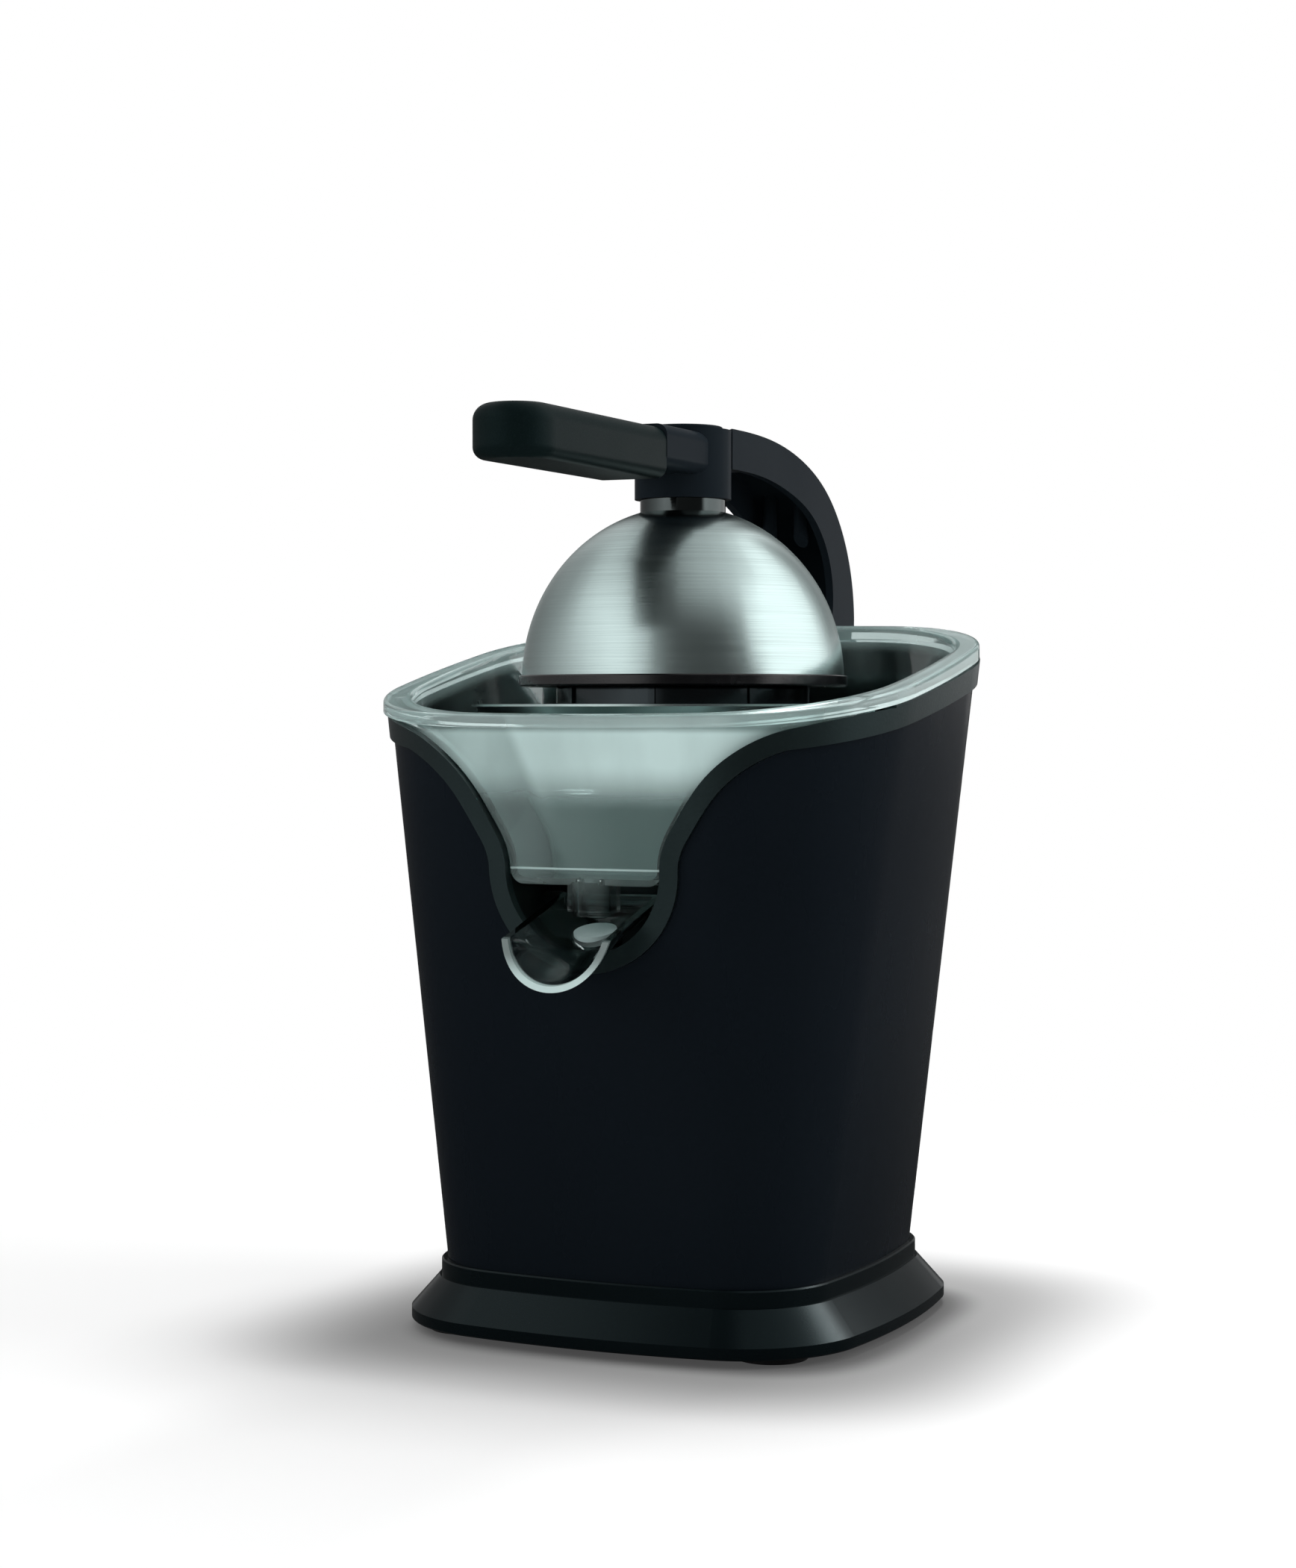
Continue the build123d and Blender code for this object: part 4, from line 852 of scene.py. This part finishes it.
    def _spread(
        self, name: str, node: str, slot: Slot, one: bmesh.types.BMesh, spots: Sequence[tuple[float, float]]
    ) -> None:
        """Puts copies of one mesh under the plate as a piece that stands for a node.

        Args:
            name: The piece's name.
            node: The CAD node that it stands for.
            slot: The record's slot that its finish comes from.
            one: The mesh that is repeated; it is freed here.
            spots: Places under the plate.
        """
        source = bpy.data.meshes.new(name + "_one")
        one.to_mesh(source)
        one.free()
        bm = bmesh.new()
        for index, (x, y) in enumerate(spots):
            known = set(bm.verts)
            bm.from_mesh(source)
            place = Matrix.Translation((x, y, self.plate_z)) @ Matrix.Rotation(math.pi, 4, "X")
            place = place @ Matrix.Rotation(self.turn * index, 4, "Z")
            bmesh.ops.transform(bm, matrix=place, verts=[vert for vert in bm.verts if vert not in known])
        bmesh.ops.recalc_face_normals(bm, faces=bm.faces[:])
        bpy.data.meshes.remove(source)
        piece = new_piece(name, bm, FINISHES[slot].material())
        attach(piece, "base")
        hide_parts(node)
        LOG.info("built %s for %s", name, node)

    def build(self) -> None:
        """Builds the screws and the feet."""
        far = self.screw_reach
        self._spread(
            "cross_head_screws", "base_screws", Slot.SCREW, self.screw(),
            ((far, 0.0), (0.0, far), (-far, 0.0), (0.0, -far)),
        )
        corner = self.foot_reach
        self._spread(
            "grooved_feet", "rubber_feet", Slot.RUBBER, self.foot(),
            ((-corner, -corner), (corner, -corner), (corner, corner), (-corner, corner), (0.0, 0.0)),
        )


# ---------------------------------------------------------------- spindle
@dataclass
class ReturnSpring:
    """The coil that lifts the spindle, wound at one fixed length; nothing here shortens it as the spindle
    is pressed down.
    """

    low_z: float = 178.0 * MM
    high_z: float = 187.4 * MM
    radius: float = 5.2 * MM
    wire: float = 1.0 * MM
    turns: int = 4
    stroke: float = 2.5 * MM
    sides: int = 10
    steps: int = 32

    def build(self) -> bpy.types.Object:
        """Winds the coil from a ring of its wire.

        Returns:
            The piece.
        """
        bm = bmesh.new()
        place = Matrix.Translation((self.radius, 0.0, self.low_z + self.wire / 2))
        bmesh.ops.create_circle(
            bm, cap_ends=False, segments=self.sides, radius=self.wire / 2,
            matrix=place @ Matrix.Rotation(math.pi / 2, 4, "X"),
        )
        count = self.turns * self.steps
        rise = self.high_z - self.low_z - self.wire
        bmesh.ops.spin(
            bm, geom=[*bm.verts, *bm.edges], cent=(0.0, 0.0, 0.0), axis=(0.0, 0.0, 1.0),
            dvec=(0.0, 0.0, rise / count), angle=math.tau * self.turns, steps=count,
        )
        bmesh.ops.holes_fill(bm, edges=[edge for edge in bm.edges if edge.is_boundary], sides=self.sides)
        bmesh.ops.recalc_face_normals(bm, faces=bm.faces[:])
        piece = new_piece("return_coil", bm, FINISHES[Slot.SCREW].material())
        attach(piece, "drive_gear")
        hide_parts("return_spring")
        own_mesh(piece)
        LOG.info("built return_coil for return_spring")
        return piece


# ---------------------------------------------------------------- studio
class Reach(Enum):
    """What a lamp acts on."""

    LIGHT = "lights surfaces and is mirrored in none"
    GLINT = "is mirrored in gloss and lights nothing"


@dataclass
class Softbox:
    """A flat lamp that looks at a point."""

    name: str
    azimuth: float
    elevation: float
    distance: float
    size: tuple[float, float]
    power: float
    reach: Reach
    target: tuple[float, float, float] = (0.0, 0.0, 0.2)
    spread: float = 180.0

    def build(self) -> bpy.types.Object:
        """Makes the lamp.

        Returns:
            The lamp.
        """
        lamp = bpy.data.lights.new(self.name, "AREA")
        lamp.shape = "RECTANGLE"
        lamp.size, lamp.size_y = self.size
        lamp.energy = self.power
        lamp.spread = math.radians(self.spread)
        made = bpy.data.objects.new(self.name, lamp)
        bpy.context.scene.collection.objects.link(made)
        a, e = math.radians(self.azimuth), math.radians(self.elevation)
        away = Vector((math.sin(a) * math.cos(e), -math.cos(a) * math.cos(e), math.sin(e)))
        made.location = Vector(self.target) + away * self.distance
        made.rotation_mode = "QUATERNION"
        made.rotation_quaternion = away.to_track_quat("Z", "Y")
        glint = self.reach is Reach.GLINT
        made.visible_glossy = glint
        made.visible_diffuse = not glint
        made.visible_transmission = not glint
        made.visible_camera = False
        return made


@dataclass
class Surroundings:
    """The world: white for the camera, a studio's panels for gloss, an even light for the rest.

    Bands are of a direction's parts: across the view, away from the camera, and up.
    """

    azimuth: float
    fill: float = 0.5
    low_panels: tuple[tuple[float, float], ...] = (
        (-1.0, 0.85), (-0.92, 1.15), (-0.77, 1.5), (-0.58, 1.4), (-0.44, 0.9), (-0.33, 0.14), (-0.22, 0.08),
        (0.45, 0.07), (0.81, 0.07), (0.86, 1.1), (0.91, 2.1), (0.97, 2.0), (1.0, 1.9),
    )
    high_panels: tuple[tuple[float, float], ...] = (
        (-1.0, 0.75), (-0.62, 1.0), (-0.5, 0.85), (-0.36, 0.1), (-0.2, 0.0), (-0.1, 0.1), (0.0, 0.6),
        (0.2, 0.66), (0.38, 0.82), (0.5, 1.15), (0.7, 1.9), (0.85, 2.0), (1.0, 1.4),
    )
    turn: Band = Band(0.0, 1.0)
    widening: float = 1.5
    lean: Band = Band(0.0, 0.3)
    lean_rise: float = 0.33
    ceiling: Band = Band(0.15, 0.95)
    rear: Band = Band(-1.15, 0.1, 0.25, 1.0)
    rear_skew: float = 0.35
    wall_away: Band = Band(0.55, 0.75)
    wall_rise: Band = Band(0.25, 0.45)
    wall_start: Band = Band(0.0, 0.08, 0.04, 0.85)
    wall_end: Band = Band(0.16, 0.24, 1.0, 0.0)
    wall_left: Band = Band(-0.14, -0.11, 0.1, 0.0)
    notch_away: Band = Band(0.5, 0.65)
    notch_rise: Band = Band(0.0, 0.2)
    notch_side: Band = Band(0.3, 0.45, 0.0, 0.8)
    slot_away: Band = Band(0.3, 0.5)
    slot_rise: Band = Band(-0.14, -0.09, 0.75, 0.0)
    slot_side: Band = Band(0.3, 0.45)

    def build(self) -> None:
        """Makes the world."""
        made = bpy.data.worlds.new("studio")
        bpy.context.scene.world = made
        made.use_nodes = True
        graph = Graph(made.node_tree)
        camera, through, glossy = (
            graph.node("ShaderNodeLightPath", out=f"Is {kind} Ray")
            for kind in ("Camera", "Transmission", "Glossy")
        )
        room = glossy * self._sky(graph) + (1 - glossy) * self.fill
        seen = graph.node("ShaderNodeMath", {"operation": "MAXIMUM"}, [camera, through])
        strength = seen + (1 - seen) * room
        shade = graph.node("ShaderNodeBackground", {}, {"Color": WHITE, "Strength": strength})
        graph.node("ShaderNodeOutputWorld", {}, {0: shade})

    @staticmethod
    def _panels(graph: Graph, place: Val, row: Sequence[tuple[float, float]]) -> Val:
        """A row of panels.

        Args:
            graph: The world's graph.
            place: Where a direction lies along the row, from -1 to 1.
            row: Places and levels of light.

        Returns:
            The level.
        """
        stops = [(at / 2 + 0.5, (level,) * 3) for at, level in row]
        return graph.node("ShaderNodeValToRGB", {"stops": stops}, {0: place / 2 + 0.5})

    def _sky(self, graph: Graph) -> Val:
        """The light that gloss shows.

        Args:
            graph: The world's graph.

        Returns:
            Its level in each direction.
        """
        way = graph.node("ShaderNodeTexCoord", out="Generated")
        x, y, up = (graph.node("ShaderNodeSeparateXYZ", {}, {"Vector": way}, out=name) for name in "XYZ")
        a = math.radians(self.azimuth)
        across = x * math.cos(a) + y * math.sin(a)
        towards = x * math.sin(a) - y * math.cos(a)
        away = towards * -1.0
        turned = across * (1 + self.turn.of(away) * self.widening)
        leaning = turned + up * self.lean.of(across) * self.lean_rise
        low = self._panels(graph, leaning, self.low_panels)
        high = self._panels(graph, turned, self.high_panels)
        top = self.ceiling.of(up * up)
        behind = self.rear.of(towards + across * self.rear_skew)
        strips = self.wall_start.of(across) * self.wall_end.of(across) + self.wall_left.of(across)
        wall = self.wall_away.of(away) * self.wall_rise.of(up) * strips
        notch = self.notch_away.of(away) * self.notch_rise.of(up) * self.notch_side.of(across)
        slot = self.slot_away.of(away) * self.slot_rise.of(up) * self.slot_side.of(across)
        return (low * (1 - top) * behind + high * top) * (1 - (notch + slot)) + wall


@dataclass
class Floor:
    """A pale floor with a painted shadow round where the base stands, white further off."""

    azimuth: float
    half_size: float = 6.0
    white: Band = Band(0.3, 0.6)
    # The painted shadow: its middle, its rounded-square shape and its two bands of floor colour.
    middle: tuple[float, float] = (0.008, -0.003)
    squareness: int = 4
    painted_contact_shadow: Band = Band(0.078, 0.094, 0.12, 0.4)
    shadow: Band = Band(0.09, 0.16, 0.0, 0.5)
    lift: float = 0.06
    gloss: float = 0.06
    # Painted light: the floor as mirrors see it glows brighter towards the right.
    right: Band = Band(0.1, 0.6, 1.0, 1.9)

    def _material(self) -> bpy.types.Material:
        """The floor's material: a painted shadow round the base for the camera and light, and a faint glow
        for mirrors that is painted brighter towards the right.

        Returns:
            The material.
        """
        made = bpy.data.materials.new("pale_floor")
        made.use_nodes = True
        graph = Graph(made.node_tree)
        camera = graph.node("ShaderNodeLightPath", out="Is Camera Ray")
        mirror = graph.node("ShaderNodeLightPath", out="Is Glossy Ray")
        x = graph.axis("X")
        y = graph.axis("Y")
        far = self.white.of((x * x + y * y) ** 0.5)
        power = self.squareness
        reach = ((x - self.middle[0]) ** power + (y - self.middle[1]) ** power) ** (1 / power)
        # Painted shadow: the floor's colour darkens towards the base.
        level = self.painted_contact_shadow.of(reach) + self.shadow.of(reach)
        matt = graph.node("ShaderNodeBsdfDiffuse", {}, {"Color": level})
        lift = graph.node("ShaderNodeEmission", {}, {"Color": WHITE, "Strength": camera * self.lift})
        near = graph.node("ShaderNodeAddShader", {}, [matt, lift])
        white = graph.node("ShaderNodeEmission", {}, {"Color": WHITE, "Strength": 1.0})
        pale = graph.node("ShaderNodeMixShader", {}, [far * camera, near, white])
        # Painted light: the floor's glow in mirrors, brighter towards the right.
        a = math.radians(self.azimuth)
        right = self.right.of(x * math.cos(a) + y * math.sin(a))
        dim = graph.node("ShaderNodeEmission", {}, {"Color": WHITE, "Strength": right * self.gloss})
        graph.finish(graph.node("ShaderNodeMixShader", {}, [mirror, pale, dim]))
        return made

    def build(self) -> None:
        """Lays the floor."""
        bm = bmesh.new()
        bmesh.ops.create_grid(bm, x_segments=2, y_segments=2, size=self.half_size)
        obj = new_piece("floor", bm, self._material())


@dataclass
class Studio:
    """Camera, lamps, surroundings and floor."""

    azimuth: float = 23.637
    distance: float = 1.060
    camera_z: float = 0.217253
    pitch: float = -1.413
    yaw: float = 0.680
    focal_px: float = 3934.459
    frame_px: tuple[int, int] = (1736, 2101)
    sensor: float = 36.0
    clip: tuple[float, float] = (0.05, 30.0)
    base_corner: tuple[float, float, float] = (0.080, -0.075, 0.020)

    def camera(self) -> None:
        """Makes the camera."""
        made = bpy.data.cameras.new("camera")
        made.sensor_fit = "AUTO"
        made.sensor_width = self.sensor
        made.lens = self.focal_px * self.sensor / self.frame_px[1]
        made.clip_start, made.clip_end = self.clip
        obj = bpy.data.objects.new("camera", made)
        bpy.context.scene.collection.objects.link(obj)
        a = math.radians(self.azimuth)
        obj.location = (self.distance * math.sin(a), -self.distance * math.cos(a), self.camera_z)
        turn = math.radians(self.azimuth + self.yaw)
        tilt = math.radians(self.pitch)
        ahead = Vector((-math.sin(turn) * math.cos(tilt), math.cos(turn) * math.cos(tilt), math.sin(tilt)))
        obj.rotation_mode = "QUATERNION"
        obj.rotation_quaternion = (-ahead).to_track_quat("Z", "Y")
        bpy.context.scene.camera = obj

    def lamps(self) -> tuple[Softbox, ...]:
        """The lamps, placed round the camera's direction."""
        return (
            Softbox(
                "left_box", azimuth=self.azimuth - 66, elevation=24, distance=1.5, size=(0.7, 1.0),
                power=4.5, reach=Reach.LIGHT,
            ),
            Softbox(
                "right_box", azimuth=self.azimuth + 84, elevation=24, distance=1.5, size=(0.7, 1.0),
                power=8.0, reach=Reach.LIGHT,
            ),
            Softbox(
                "top_box", azimuth=self.azimuth + 150, elevation=70, distance=1.5, size=(0.55, 0.55),
                power=14.0, reach=Reach.LIGHT,
            ),
            Softbox(
                "corner_glint", azimuth=self.azimuth + 115, elevation=37, distance=0.35, size=(0.10, 0.17),
                power=0.021, reach=Reach.GLINT, target=self.base_corner, spread=40.0,
            ),
        )

    def build(self) -> None:
        """Makes the whole set."""
        self.camera()
        for lamp in self.lamps():
            lamp.build()
        Surroundings(self.azimuth).build()
        Floor(self.azimuth).build()
        bpy.context.scene.view_settings.view_transform = "Standard"


def main() -> None:
    """Builds every part of the scene in order."""
    logging.basicConfig(level=logging.INFO, format="%(message)s")
    dress_nodes()
    Underside().build()
    ReturnSpring().build()
    Studio().build()


if __name__ == "__main__":
    main()
